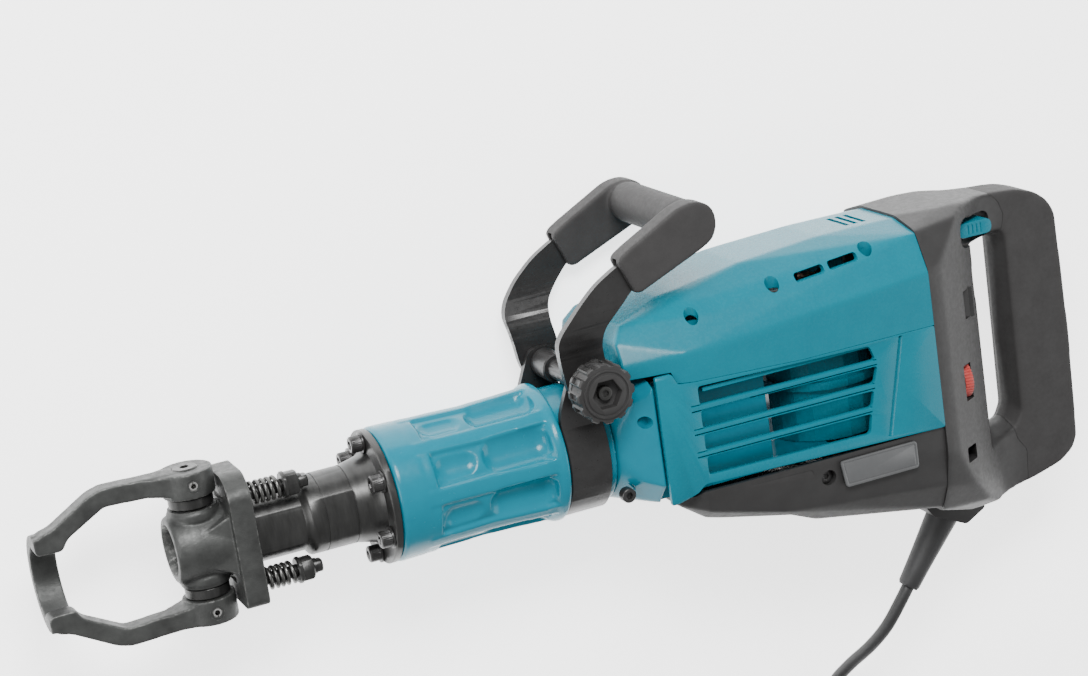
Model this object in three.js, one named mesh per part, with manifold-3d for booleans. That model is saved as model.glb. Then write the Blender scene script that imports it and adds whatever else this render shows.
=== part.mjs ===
// Electric demolition hammer (jackhammer) for 28.6 mm hexagon tools, lying on its right-hand side.
// Millimetres. Every piece is drawn in the tool's own axes: X runs back along the barrel axis from
// the tool mouth to the D-handle, Z is the top of the tool, and -Y is the side with the clamp knob.
// The last lines lay the tool down on its +Y side, so the part stands with +Z up.
import * as THREE from "three";
import { mergeVertices } from "three/addons/utils/BufferGeometryUtils.js";
import { ConvexGeometry } from "three/addons/geometries/ConvexGeometry.js";
import Module from "manifold-3d";

// ---- driving dimensions ----
const GAP = 0.3; // clearance between pieces that touch
const SHANK_AF = 28.9; // hexagon bore for a 28.6 mm shank, across flats
const MOUTH_X = -319.4; // front face of the retainer
const PLATE_FRONT_X = -279;
const PLATE_REAR_X = -262;
const TRUNNION_X = -298.5; // bail hinge axis, parallel to Z
const TRUNNION_R = 16;
const EYE_R = 19;
const BAIL_Z0 = 37.5; // underside of the bail's eyes
const BAIL_Z1 = 56;
const BAIL_TIP_X = -412.4;
const DETENT_Y = -19;
const DETENT_Z = 32;
const FLANGE_FRONT_X = -169;
const FLANGE_REAR_X = -163.3;
const FLANGE_R = 49.5;
const FLANGE_BOLT_R = 41.6; // bolt circle radius
const BARREL_FRONT_X = -163;
const BARREL_REAR_X = 4.7;
const NECK_R = 46; // where the side handle's band clamps
const NECK_X0 = -33.5;
const BAND_W = 32;
const BAND_T = 3.6;
const PIVOT_X = -9; // side handle's clamp bolt, parallel to Y
const PIVOT_Z = 55;
const GRIP_X = 80;
const GRIP_Z = 157.5;
const GRIP_R = 14.5;
const HALF_W = 69; // half width of the plastic housings
const WALL = 3.2;
const SEAM_X = 33; // crank housing to plastic shells
const REAR_SEAM_X = 262; // shells to rear housing
const CYL_R = 32; // hammer cylinder, outside
const BORE_R = 27;
const CRANK_X = 92; // crankshaft axis, parallel to Z
const CRANK_THROW = 15;
const CRANK_GEAR_R = 30;
const IDLER_X = 149; // intermediate shaft
const IDLER_SMALL_R = 26.7;
const IDLER_BIG_R = 38;
const ABSORBER_Z = 75; // height of the vibration absorber's guide rod
const MOTOR_X = 196; // armature axis, parallel to Z
const PINION_R = 8.7;
const HANDLE_HALF_W = 18;
const CORD_R = 5;
const GUARD_DIR = new THREE.Vector3(-0.525, 0, -0.851).normalize();
const GUARD_TOP = new THREE.Vector3(282, 0, -133.5);
const GUARD_LENGTH = 60;
const REST_Y = 69; // the tool lies on this plane
const BOX_CENTRE_X = -1.9; // middle of the tool's length
const BOX_CENTRE_Z = 15.1; // middle of the tool's height

// ---- materials ----
const material = (color, roughness, metalness) =>
  new THREE.MeshStandardMaterial({ color, roughness, metalness });
const TEAL = () => material(0x0f8aa0, 0.32, 0);
const BLACK = () => material(0x2b2b2c, 0.55, 0);
const RUBBER = () => material(0x3a3839, 0.85, 0);
const FORGED = () => material(0x3c3f3e, 0.5, 0.8);
const STEEL = () => material(0xa5a7a8, 0.3, 1);
const OXIDE = () => material(0x2d2e2f, 0.45, 0.8);
const CORD = () => material(0x1b1b1c, 0.7, 0);

// ---- solids ----
const wasm = await Module();
wasm.setup();

function solid(geometry) {
  const bare = geometry.clone();
  bare.deleteAttribute("normal");
  bare.deleteAttribute("uv");
  const merged = mergeVertices(bare, 1e-3);
  const vertProperties = merged.attributes.position.array;
  const triVerts = new Uint32Array(merged.index.array);
  const make = () =>
    new wasm.Manifold(new wasm.Mesh({ numProp: 3, vertProperties, triVerts }));
  const first = make();
  if (first.volume() > 0) return first;
  triVerts.reverse();
  return make();
}

const union = (...pieces) => pieces.flat().reduce((a, b) => a.add(b));

const group = new THREE.Group();

function node(name, made, look) {
  const mesh = made.getMesh();
  const geometry = new THREE.BufferGeometry();
  geometry.setAttribute("position", new THREE.BufferAttribute(mesh.vertProperties, 3));
  geometry.setIndex(new THREE.BufferAttribute(mesh.triVerts, 1));
  geometry.computeVertexNormals();
  const piece = new THREE.Mesh(geometry, look);
  piece.name = name;
  group.add(piece);
  return made;
}

const AXES = {
  X: [new THREE.Vector3(0, 1, 0), new THREE.Vector3(0, 0, 1), new THREE.Vector3(1, 0, 0)],
  Y: [new THREE.Vector3(1, 0, 0), new THREE.Vector3(0, 0, 1), new THREE.Vector3(0, -1, 0)],
  Z: [new THREE.Vector3(1, 0, 0), new THREE.Vector3(0, 1, 0), new THREE.Vector3(0, 0, 1)],
};

// Turns a geometry drawn in XY with its depth along Z so that its depth runs along an axis.
function stand(geometry, axis) {
  return geometry.applyMatrix4(new THREE.Matrix4().makeBasis(...AXES[axis]));
}

// A closed outline with its corners rounded by a radius.
function outline(points, radius = 0) {
  const shape = new THREE.Shape();
  const count = points.length;
  points.forEach(([x, y], i) => {
    const [px, py] = points[(i + count - 1) % count];
    const [nx, ny] = points[(i + 1) % count];
    const back = Math.hypot(px - x, py - y);
    const on = Math.hypot(nx - x, ny - y);
    const cut = Math.min(radius, back / 2.1, on / 2.1);
    const from = [x + ((px - x) * cut) / back, y + ((py - y) * cut) / back];
    const to = [x + ((nx - x) * cut) / on, y + ((ny - y) * cut) / on];
    if (i === 0) shape.moveTo(...from);
    else shape.lineTo(...from);
    if (cut > 0) shape.quadraticCurveTo(x, y, ...to);
  });
  shape.closePath();
  return shape;
}

// A prism along an axis. Across X the outline is (Y, Z), across Y it is (X, Z), across Z it is (X, Y).
function prism(axis, shape, low, high, segments = 3) {
  const drawn = shape instanceof THREE.Shape ? shape : outline(shape);
  const flat = new THREE.ExtrudeGeometry(drawn, {
    depth: high - low,
    bevelEnabled: false,
    curveSegments: segments,
  });
  stand(flat, axis);
  const lift = { X: [low, 0, 0], Y: [0, high, 0], Z: [0, 0, low] }[axis];
  return solid(flat.translate(...lift));
}

function box([x0, x1], [y0, y1], [z0, z1]) {
  const made = new THREE.BoxGeometry(x1 - x0, y1 - y0, z1 - z0);
  return solid(made.translate((x0 + x1) / 2, (y0 + y1) / 2, (z0 + z1) / 2));
}

// A round bar along an axis, centred on two coordinates given in X, Y, Z order.
function rod(axis, [a, b], radius, low, high, sides = 16, endRadius = radius) {
  const made = new THREE.CylinderGeometry(endRadius, radius, high - low, sides);
  const mid = (low + high) / 2;
  if (axis === "X") made.rotateZ(-Math.PI / 2).translate(mid, a, b);
  if (axis === "Y") made.translate(a, mid, b);
  if (axis === "Z") made.rotateX(Math.PI / 2).translate(a, b, mid);
  return solid(made);
}

// A solid of revolution about the barrel axis from [x, radius] pairs that close on themselves.
function turned(profile, sides = 28) {
  const points = profile.map(([x, r]) => new THREE.Vector2(r, x));
  points.push(points[0].clone());
  return solid(new THREE.LatheGeometry(points, sides).rotateZ(-Math.PI / 2));
}

function hull(points) {
  return solid(new ConvexGeometry(points.map(([x, y, z]) => new THREE.Vector3(x, y, z))));
}

// A hexagonal bar along X or Y by its size across flats.
function hexBar(axis, [a, b], acrossFlats, low, high) {
  return rod(axis, [a, b], acrossFlats / Math.sqrt(3), low, high, 6);
}

// A wire or tube along a curve, closed at both ends.
function tube(curve, radius, steps, sides) {
  const section = new THREE.Shape();
  for (let i = 0; i < sides; i++) {
    const turn = (i / sides) * Math.PI * 2;
    const point = [radius * Math.cos(turn), radius * Math.sin(turn)];
    if (i === 0) section.moveTo(...point);
    else section.lineTo(...point);
  }
  section.closePath();
  return new THREE.ExtrudeGeometry(section, { steps, extrudePath: curve, curveSegments: 1 });
}

// A compression spring along X.
function spring(x0, x1, [y, z], radius, wire, turns) {
  class Helix extends THREE.Curve {
    getPoint(t, target = new THREE.Vector3()) {
      const turn = t * turns * Math.PI * 2;
      const along = x0 + wire + t * (x1 - x0 - 2 * wire);
      return target.set(along, y + radius * Math.cos(turn), z + radius * Math.sin(turn));
    }
  }
  return solid(tube(new Helix(), wire, turns * 8, 4));
}

// ---- nose: tool sleeve, retainer, bail and its two detents ----
function toolSleeve() {
  const outside = turned([
    [PLATE_REAR_X + GAP, 0],
    [PLATE_REAR_X + GAP, 24],
    [-225, 24],
    [-222, 28.7],
    [-184, 28.7],
    [-176, 31],
    [FLANGE_FRONT_X, 33],
    [FLANGE_FRONT_X, FLANGE_R],
    [FLANGE_REAR_X, FLANGE_R],
    [FLANGE_REAR_X, 37],
    [-110, 37],
    [-110, 0],
  ]);
  const hexBore = hexBar("X", [0, 0], SHANK_AF, PLATE_REAR_X - 1, -164);
  const ramBore = rod("X", [0, 0], 19.2, -164.5, -105, 20);
  const holes = flangeAngles().map(([y, z]) => rod("X", [y, z], 4.6, -175, -160, 8));
  return outside.subtract(hexBore).subtract(ramBore).subtract(union(holes));
}

function flangeAngles() {
  const places = [];
  for (let i = 0; i < 6; i++) {
    const turn = (i * Math.PI) / 3;
    places.push([-FLANGE_BOLT_R * Math.sin(turn), FLANGE_BOLT_R * Math.cos(turn)]);
  }
  return places;
}

function retainerHousing() {
  const body = turned([
    [MOUTH_X, 0],
    [MOUTH_X, 22.6],
    [MOUTH_X + 2, 24.4],
    [-306, 26],
    [PLATE_REAR_X, 26],
    [PLATE_REAR_X, 0],
  ]);
  const plateEdge = outline([[-30, -48], [24, -48], [24, 48], [-16, 48], [-30, 36]], 4);
  const plate = prism("X", plateEdge, PLATE_FRONT_X, PLATE_REAR_X);
  const web = hull([
    [-300, -24, -14], [-300, -24, 14], [-300, 22, -14], [-300, 22, 14],
    [-278, -29, -30], [-278, -29, 30], [-278, 23, -30], [-278, 23, 30],
  ]);
  const boss = rod("Z", [TRUNNION_X, 0], TRUNNION_R + 1.5, -29, 29, 20);
  const trunnionBore = rod("Z", [TRUNNION_X, 0], 9.4, -40, 40, 14);
  const shankBore = rod("X", [0, 0], 17.2, MOUTH_X - 1, PLATE_REAR_X + 1, 20);
  const detents = [1, -1].map((side) =>
    rod("X", [DETENT_Y, side * DETENT_Z], 5.1, -276, PLATE_REAR_X + 1, 10),
  );
  return union(body, plate, web, boss)
    .subtract(shankBore)
    .subtract(trunnionBore)
    .subtract(union(detents));
}

// One half of the hinge: a shouldered stub that turns with the bail's eye.
function trunnion(side) {
  const low = side > 0 ? 18 : -BAIL_Z0 + GAP;
  const high = side > 0 ? BAIL_Z0 - GAP : -18;
  const collarLow = side > 0 ? 29 + GAP : low;
  const collarHigh = side > 0 ? high : -29 - GAP;
  const stub = rod("Z", [TRUNNION_X, 0], 9, low, high, 14);
  const collar = rod("Z", [TRUNNION_X, 0], TRUNNION_R, collarLow, collarHigh, 20);
  const outer = side > 0 ? [BAIL_Z0 - 1, BAIL_Z1 + 1] : [-BAIL_Z1 - 1, -BAIL_Z0 + 1];
  const head = rod("Z", [TRUNNION_X, 0], 9, ...outer, 14);
  const pinHole = rod("Y", [TRUNNION_X, side * 47], 3.3, -20, 20, 8);
  return union(stub, collar, head).subtract(pinHole);
}

function bailArm(side) {
  const edge = [
    [TRUNNION_X + 4, 56], [-312.6, 56.5], [-359, 58.3], [-369.3, 55.4], [-399, 38],
    [-408, 36], [BAIL_TIP_X, 30], [BAIL_TIP_X, 22.5], [-393.4, 21.5], [-389, 29],
    [-360, 45], [-316, 42.5], [TRUNNION_X + 4, 40],
  ];
  const shape = outline(edge.map(([x, z]) => [x, side * z]), 2.5);
  return prism("Y", shape, -7.5, 7.5, 2);
}

function retainerBail() {
  const eyes = [1, -1].map((side) => {
    const low = side > 0 ? BAIL_Z0 : -BAIL_Z1;
    const neck = hull([
      [TRUNNION_X, -17, side * BAIL_Z0], [TRUNNION_X, 17, side * BAIL_Z0],
      [TRUNNION_X, -17, side * BAIL_Z1], [TRUNNION_X, 17, side * BAIL_Z1],
      [-330, -7.5, side * 44], [-330, 7.5, side * 44],
      [-330, -7.5, side * 56], [-330, 7.5, side * 56],
    ]);
    const eye = rod("Z", [TRUNNION_X, 0], EYE_R, low, low + BAIL_Z1 - BAIL_Z0, 22);
    const bore = rod("Z", [TRUNNION_X, 0], 9 + GAP, side * 47 - 20, side * 47 + 20, 14);
    const pinHole = rod("Y", [TRUNNION_X, side * 47], 3.3, -24, 24, 8);
    return union(eye, neck, bailArm(side)).subtract(bore).subtract(pinHole);
  });
  const halfRing = new THREE.Shape();
  halfRing.absarc(0, 0, 35.5, -Math.PI / 2, Math.PI / 2, false);
  halfRing.absarc(0, 0, 27, Math.PI / 2, -Math.PI / 2, true);
  const ends = [1, -1].map((side) =>
    box([BAIL_TIP_X, -393.6], [-7.5, 1], side > 0 ? [26, 34] : [-34, -26]),
  );
  const hoop = prism("X", halfRing, BAIL_TIP_X, -393.6, 9);
  return union(eyes, ends, hoop);
}

function detentBolt(side) {
  const z = side * DETENT_Z;
  const shank = rod("X", [DETENT_Y, z], 4.6, -272, -222, 10);
  const tail = rod("X", [DETENT_Y, z], 5.6, -225.5, -219, 12);
  const flats = [1, -1].map((way) =>
    box([-223, -218], [DETENT_Y - 8, DETENT_Y + 8], way > 0 ? [z + 4, z + 8] : [z - 8, z - 4]),
  );
  return union(shank, tail).subtract(union(flats));
}

function detentNut(side) {
  const centre = [DETENT_Y, side * DETENT_Z];
  return rod("X", centre, 9.7, -237.7, -225.8, 16).subtract(rod("X", centre, 4.9, -240, -224, 10));
}

// ---- barrel and its flange bolts ----
function barrelSection(rib, valley) {
  const points = [];
  for (let i = 0; i < 8; i++) {
    const middle = ((i * 45 - 3) * Math.PI) / 180;
    const steps = [[-5, rib], [5, rib], [9, valley], [36, valley]];
    for (const [offset, radius] of steps) {
      const turn = middle + (offset * Math.PI) / 180;
      points.push([-radius * Math.sin(turn), radius * Math.cos(turn)]);
    }
  }
  return points;
}

function barrel() {
  const core = turned([
    [BARREL_FRONT_X, 38],
    [BARREL_FRONT_X, 48.5],
    [-160.5, 50],
    [-140, 49.5],
    [-136, 47.2],
    [-95, 46.4],
    [-44, 47.2],
    [-40, 51.9],
    [NECK_X0 - 0.5, 51.9],
    [NECK_X0 - 0.5, NECK_R],
    [BARREL_REAR_X, NECK_R],
    [BARREL_REAR_X, 33],
    [-90, 33],
    [-90, 38],
  ]);
  const ribs = prism("X", barrelSection(50, 45), -140, -40).intersect(
    turned([[-140, 44], [-140, 49.8], [-92, 48.4], [-40, 50.5], [-40, 44]], 32),
  );
  const bores = flangeAngles().map(([y, z]) => rod("X", [y, z], 3.8, -164, -146, 8));
  const pockets = [];
  for (let i = 0; i < 8; i++) {
    const turn = i * 45 + 19.5;
    for (const [x0, x1] of [[-130, -99], [-89, -50]]) {
      const half = 11;
      const cut = new THREE.BoxGeometry(x1 - x0, 2 * half, 5);
      cut.translate((x0 + x1) / 2, 0, 46.6);
      cut.rotateX((turn * Math.PI) / 180);
      pockets.push(solid(cut));
    }
  }
  return union(core, ribs).subtract(union(pockets)).subtract(union(bores));
}

function flangeBolt([y, z]) {
  const washer = rod("X", [y, z], 8, FLANGE_FRONT_X - 1.7, FLANGE_FRONT_X - GAP, 14);
  const head = rod("X", [y, z], 6.2, -178.6, FLANGE_FRONT_X - 1.5, 14);
  const shank = rod("X", [y, z], 3.4, FLANGE_FRONT_X - 1, -148, 8);
  const socket = hexBar("X", [y, z], 6, -179, -174);
  return union(washer, head, shank).subtract(socket);
}

// ---- side handle: band, clamp, arms and grip ----
function clampBand() {
  const x0 = NECK_X0 + 0.5;
  const x1 = x0 + BAND_W;
  const inner = NECK_R + GAP;
  const outer = inner + BAND_T;
  const ring = turned([[x0, inner], [x0, outer], [x1, outer], [x1, inner]], 36);
  const gap = box([x0 - 1, x1 + 1], [-37.9, 37.9], [20, 90]);
  const ears = [1, -1].map((side) => {
    const leaf = outline([
      [side * 38, 26], [side * 43, 24], [side * 43, 72], [side * 38, 72],
    ]);
    const face = outline([
      [x0, 22], [x1, 22], [x1, 34], [PIVOT_X + 14, PIVOT_Z], [PIVOT_X + 10, PIVOT_Z + 12],
      [PIVOT_X - 10, PIVOT_Z + 12], [PIVOT_X - 16, PIVOT_Z], [x0, 36],
    ], 5);
    return prism("X", leaf, x0, x1 + 20).intersect(prism("Y", face, -50, 50));
  });
  const hole = rod("Y", [PIVOT_X, PIVOT_Z], 5.4, -60, 60, 14);
  const clearNeck = rod("X", [0, 0], inner, x0 - 5, x1 + 25, 36);
  return union(ring.subtract(gap), ears).subtract(clearNeck).subtract(hole);
}

function handleArm(side) {
  const face = outline([
    [PIVOT_X - 17, PIVOT_Z], [-28.5, 74], [-31, 92], [-27, 101], [-15, 115.5], [1, 129.5],
    [20, 140], [40, 146], [44, 134], [28.5, 121], [13.5, 105.5], [5.5, 96], [3.5, 84],
    [PIVOT_X + 17, PIVOT_Z], [PIVOT_X + 12, PIVOT_Z - 12], [PIVOT_X, PIVOT_Z - 17],
    [PIVOT_X - 12, PIVOT_Z - 12],
  ], 5);
  const strip = outline([
    [side * 43.3, 30], [side * 49, 30], [side * 49, 76], [side * 63, 108], [side * 63, 160],
    [side * 57, 160], [side * 57, 110], [side * 43.3, 80],
  ]);
  const arm = prism("X", strip, -60, 60).intersect(prism("Y", face, -70, 70));
  const neck = hull([
    [34, side * 57, 127], [34, side * 63, 127], [34, side * 57, 144], [34, side * 63, 144],
    [GRIP_X, side * 57, GRIP_Z - 6], [GRIP_X, side * 63, GRIP_Z - 6],
    [GRIP_X, side * 57, GRIP_Z + 6], [GRIP_X, side * 63, GRIP_Z + 6],
  ]);
  return union(arm, neck);
}

function handleCore(clearance) {
  const r = 7 + clearance;
  return rod("Y", [GRIP_X, GRIP_Z], r, -60 - clearance, 60 + clearance, 12);
}

function sideHandleFrame() {
  const hole = rod("Y", [PIVOT_X, PIVOT_Z], 5.4, -60, 60, 14);
  return union(handleArm(1), handleArm(-1), handleCore(0)).subtract(hole);
}

function sideHandleGrip() {
  const edge = outline([
    [17.5, 144.5], [25, 149.5], [70, 172.5], [84, 174], [95.5, 168], [98.5, 156],
    [94, 144], [84, 138.5], [32, 117.5], [28, 118.5],
  ], 5);
  const arms = [1, -1].map((side) =>
    prism("Y", edge, ...(side > 0 ? [51, 69] : [-69, -51])),
  );
  const bar = rod("Y", [GRIP_X, GRIP_Z], GRIP_R, -55, 55, 20);
  const fat = [1, -1].map((side) =>
    hull(
      [
        [10, 110], [10, 141.6], [46, 130], [46, 150], [GRIP_X + 1, GRIP_Z - 7],
        [GRIP_X + 1, GRIP_Z + 7],
      ].flatMap(([x, z]) => [[x, side * (57 - GAP), z], [x, side * (63 + GAP), z]]),
    ),
  );
  const slots = union(fat, handleCore(GAP));
  return union(arms, bar).subtract(slots);
}

function clampSpacer() {
  const shell = rod("Y", [PIVOT_X, PIVOT_Z], 8, -37.6, 37.6, 14);
  const sleeve = rod("Y", [PIVOT_X, PIVOT_Z], 11.2, 12, 37.6, 20);
  const neck = rod("X", [0, 0], NECK_R + 1, -40, 20, 28);
  return union(shell, sleeve)
    .subtract(rod("Y", [PIVOT_X, PIVOT_Z], 5.3, -50, 50, 12))
    .subtract(neck);
}

function clampBolt() {
  const shank = rod("Y", [PIVOT_X, PIVOT_Z], 5, -77, 52, 14);
  const head = rod("Y", [PIVOT_X, PIVOT_Z], 9.8, 49.3, 57, 6);
  return union(shank, head);
}

function clampKnob() {
  const lobes = [];
  const count = 12;
  for (let i = 0; i < count; i++) {
    const steps = [[-0.32, 22.3], [0.12, 22.3], [0.2, 19.6], [0.62, 19.6]];
    for (const [offset, radius] of steps) {
      const turn = ((i + offset) / count) * Math.PI * 2;
      lobes.push([PIVOT_X + radius * Math.cos(turn), PIVOT_Z + radius * Math.sin(turn)]);
    }
  }
  const rim = prism("Y", lobes, -79, -59);
  const face = rod("Y", [PIVOT_X, PIVOT_Z], 18, -80.5, -58, 22);
  const hub = rod("Y", [PIVOT_X, PIVOT_Z], 12, -60, -49.3, 16);
  const recess = hexBar("Y", [PIVOT_X, PIVOT_Z], 20, -82, -73);
  const hole = rod("Y", [PIVOT_X, PIVOT_Z], 5.3, -90, -40, 14);
  return union(rim, face, hub).subtract(recess).subtract(hole);
}

// ---- housings ----
// The crank housing: round where it meets the barrel, squared towards the shells.
function crankHousing() {
  const end = SEAM_X - GAP;
  const shoulders = hull([
    ...ringPoints(5, 44, 20),
    ...[
      [20, 56, 38], [20, 57, -24], [20, 40, -42], [20, 40, 50], [end, 66, 46], [end, 66, -28],
      [end, 50, -45], [end, 50, 53.5],
    ].flatMap(bothSides),
  ]);
  const gearCase = box([28, 128], [-46, 46], [-44, 44]);
  const floor = box([120, 176], [-46, 46], [-44, -37]);
  const posts = [[29, 35], [123.5, 128]].map((x) => box(x, [-10, 10], [40, 83]));
  const cavity = box([36, 123], [-41, 41], [-36, 50]);
  const bore = rod("X", [0, 0], CYL_R + GAP, 0, 60, 24);
  const scoop = rod("Y", [8, -33], 8, -70, -44, 16);
  const shaftHoles = [CRANK_X, IDLER_X, MOTOR_X].map((x, i) =>
    rod("Z", [x, 0], [9 + GAP, 6 + GAP, 25][i], -50, -30, 18),
  );
  const guides = rod("X", [0, ABSORBER_Z], 5 + GAP, 25, 132, 14);
  return union(shoulders, gearCase, floor)
    .subtract(cavity)
    .add(union(posts))
    .subtract(bore)
    .subtract(scoop)
    .subtract(union(shaftHoles))
    .subtract(guides);
}

function crankCaseBolt() {
  const head = rod("Y", [8, -33], 5.5, -51.5, -44.3, 18);
  return head.subtract(hexBar("Y", [8, -33], 5, -53, -47.5));
}

function bothSides([x, y, z]) {
  return [[x, y, z], [x, -y, z]];
}

function ringPoints(x, radius, count) {
  const points = [];
  for (let i = 0; i < count; i++) {
    const turn = (i / count) * Math.PI * 2;
    points.push([x, radius * Math.cos(turn), radius * Math.sin(turn)]);
  }
  return points;
}

function upperHull(inset) {
  const y = (value) => value - inset;
  const z = (value) => value - inset;
  const low = inset ? 30 : 39.3;
  return hull([
    [14 + inset, y(56), low], [14 + inset, y(58), z(64)], [14 + inset, y(50), z(80)],
    [22 + inset, y(42), z(91)], [60, y(28), z(101)], [60, y(69), low], [60, y(68), z(66)],
    [88, y(69), z(64)], [88, y(55), z(87)], [128, y(30), z(112)],
    [196, y(26), z(116)], [259, y(69), z(80)],
    [259, y(55), z(108)], [REAR_SEAM_X - GAP, y(24), z(115.5)],
    [REAR_SEAM_X - GAP, y(69), low], [REAR_SEAM_X - GAP, y(69), z(80)],
    [REAR_SEAM_X - GAP, y(55), z(108)],
  ].flatMap(bothSides));
}

function upperShell() {
  const edge = [
    [10, 54.3], [47.5, 54.3], [51, 45.4], [63, 44.2], [151, 39.6], [REAR_SEAM_X - GAP, 39.4],
    [REAR_SEAM_X - GAP, 96], [250, 117], [250, 125], [10, 125],
  ];
  const skin = upperHull(0).intersect(prism("Y", edge, -80, 80));
  const inside = upperHull(WALL);
  const bosses = [[75, 84.7], [141.9, 100.1], [220.6, 106.3]].flatMap(([x, z]) =>
    [1, -1].map((side) => rod("Z", [x, side * 52], 4.2, z - 14, z + 12, 8)),
  );
  const rearSlots = [226, 233, 240].map((x) => box([x, x + 3.5], [-16, 16], [108, 125]));
  const frontSlots = [-30, 4].map((y) => box([8, 21], [y, y + 22], [70, 75]));
  return skin
    .subtract(inside)
    .subtract(union(bosses))
    .subtract(union(rearSlots))
    .subtract(union(frontSlots));
}

// One side of the lower shell, with four cooling slots between louvres.
function sideShell(side) {
  const edge = outline([
    [SEAM_X + GAP, 53.7], [46.6, 53.7], [50.2, 45.1], [63, 43.9], [151, 39.3],
    [REAR_SEAM_X - GAP, 39.1], [REAR_SEAM_X - GAP, -40.4], [153.6, -37], [61.6, -33.5],
    [55, -38.5], [38.9, -43.5], [SEAM_X + GAP, -43.5],
  ]);
  const span = side > 0 ? [HALF_W - WALL - 0.8, HALF_W] : [-HALF_W, -HALF_W + WALL + 0.8];
  const plate = prism("Y", edge, ...span);
  const slots = [
    [[65, 40], [206, 36.5], [210, 25], [65, 26]],
    [[65, 21.5], [211, 20], [207, 7.5], [65, 8]],
    [[65, 3.5], [206, 2], [203, -10], [65, -9]],
    [[65, -13.5], [202, -15], [199, -30], [65, -27.5]],
  ].map((points) => prism("Y", outline(points, 3), -80, 80, 2));
  const lips = [[70, 250, 34.5, 37.5], [110, 250, -35.5, -32.5]].map(([x0, x1, z0, z1]) =>
    box([x0, x1], side > 0 ? [59, 66] : [-66, -59], [z0, z1]),
  );
  return union(plate, lips).subtract(union(slots));
}

function bellyHull(inset) {
  const y = (value) => value - inset;
  const z = (value) => value + inset;
  const high = inset ? -20 : -41;
  const end = REAR_SEAM_X - GAP;
  return hull([
    [44 + inset, y(56), high], [44 + inset, y(52), z(-50)], [62, y(67), high], [66, y(50), z(-66)],
    [66, y(62), z(-58)], [126, y(62.5), z(-74)], [156, y(50), z(-91.4)], [156, y(63), z(-77)],
    [end, y(67), high], [end, y(66), z(-60)], [end, y(62), z(-88.5)], [end, y(50), z(-111.5)],
  ].flatMap(bothSides));
}

function bellyCover() {
  const end = REAR_SEAM_X - GAP;
  const edge = [
    [30, -44.2], [56, -44.2], [62, -41], [154, -41], [end, -41], [end, -120], [156, -91.4],
    [131, -78.6], [66, -66], [43, -49],
  ];
  const skin = bellyHull(0).intersect(prism("Y", edge, -80, 80));
  const room = [
    [47, -10], [300, -10], [300, -115], [156, -87], [131, -74.6], [66, -62], [47, -46],
  ];
  const inside = bellyHull(WALL).intersect(prism("Y", room, -80, 80));
  const screwWell = [1, -1].map((side) => rod("Y", [162, -56], 6, side * 66 - 6, side * 66 + 6, 10));
  return skin.subtract(inside).subtract(union(screwWell));
}

function labelPlate() {
  const edge = outline([[171, -45], [236, -45], [236, -66], [174, -66]], 3);
  return prism("Y", edge, -69.2, -67.4);
}

const REAR_EDGE = [
  [REAR_SEAM_X, 117.4], [308, 117], [361, 113.5], [374, 112.2], [390, 106.6], [400, 98.6],
  [406, 87.6], [407.5, 36.8], [408.6, -12], [406.5, -94.8], [402, -105], [390, -113.7],
  [365, -120.3], [331, -125.8], [300, -129], [262, -113],
];
const D_OPENING = [
  [320.6, 63.3], [323, 69.7], [332.3, 74.5], [346, 78.7], [353, 78.7], [355.8, 71.7],
  [352.7, -4.7], [354.4, -59.2], [348.7, -69.9], [335.7, -73.7], [321.3, -70], [321.8, 10.7],
];
const GRIP_REGION = [
  [347, 125], [347, 115.7], [355.7, 107], [359.7, 95.6], [356.5, 83.7], [349, 76],
  [348, -69], [351.4, -84.8], [358.9, -95.3], [357.4, -118], [357, -130], [420, -130], [420, 125],
];
const REAR_TOP = [
  [REAR_SEAM_X, 68.5], [272, 67], [298, 50], [318, 34], [334, 22], [350, HANDLE_HALF_W],
  [412, HANDLE_HALF_W], [412, -HANDLE_HALF_W], [350, -HANDLE_HALF_W], [334, -22], [318, -34],
  [298, -50], [272, -67], [REAR_SEAM_X, -68.5],
];

// The whole rear end before it is split into the hard housing and the soft grip.
function rearBlank() {
  return prism("Y", outline(REAR_EDGE, 4), -80, 80)
    .intersect(prism("Z", outline(REAR_TOP, 6), -140, 130))
    .subtract(prism("Y", outline(D_OPENING, 4), -80, 80));
}

// The hard core that runs through the grip.
function gripCore(clearance) {
  const c = clearance;
  const bar = box([372 - c, 390 + c], [-9 - c, 9 + c], [-99 - c, 97 + c]);
  const ends = [
    box([340, 389 + c], [-9 - c, 9 + c], [85 - c, 97 + c]),
    box([340, 389 + c], [-9 - c, 9 + c], [-106 - c, -92 + c]),
  ];
  return union(bar, ends);
}

function rearHousing() {
  const blank = rearBlank();
  const hard = blank.subtract(prism("Y", GRIP_REGION, -80, 80));
  const cavity = prism("Y", outline([
    [REAR_SEAM_X - 5, 108], [300, 106], [314, 96], [316, 60], [316, -74], [312, -112],
    [300, -118], [REAR_SEAM_X - 5, -104],
  ]), -80, 80).intersect(prism("Z", [
    [REAR_SEAM_X - 5, 65], [272, 63.5], [297, 46.5], [317, 30], [317, -30], [297, -46.5],
    [272, -63.5], [REAR_SEAM_X - 5, -65],
  ], -140, 130));
  const panel = box([302, 312], [-60, -41.5], [30, 44]);
  const dialSlot = box([290.5, 300.5], [-70, -36], [-31, -3]);
  const leverSlot = prism("Y", outline([[309, 83], [346, 83], [346, 103], [309, 103]], 8), -50, 50);
  const wellHole = box([284, 296], [-80, -30], [-78, -66]);
  return union(hard, gripCore(0))
    .subtract(cavity)
    .subtract(panel)
    .subtract(dialSlot)
    .subtract(leverSlot)
    .subtract(wellHole);
}

function handleGrip() {
  const inner = GRIP_REGION.map(([x, z]) => [x + (x < 400 ? GAP : 0), z]);
  return rearBlank().intersect(prism("Y", inner, -80, 80)).subtract(gripCore(GAP));
}

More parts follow.
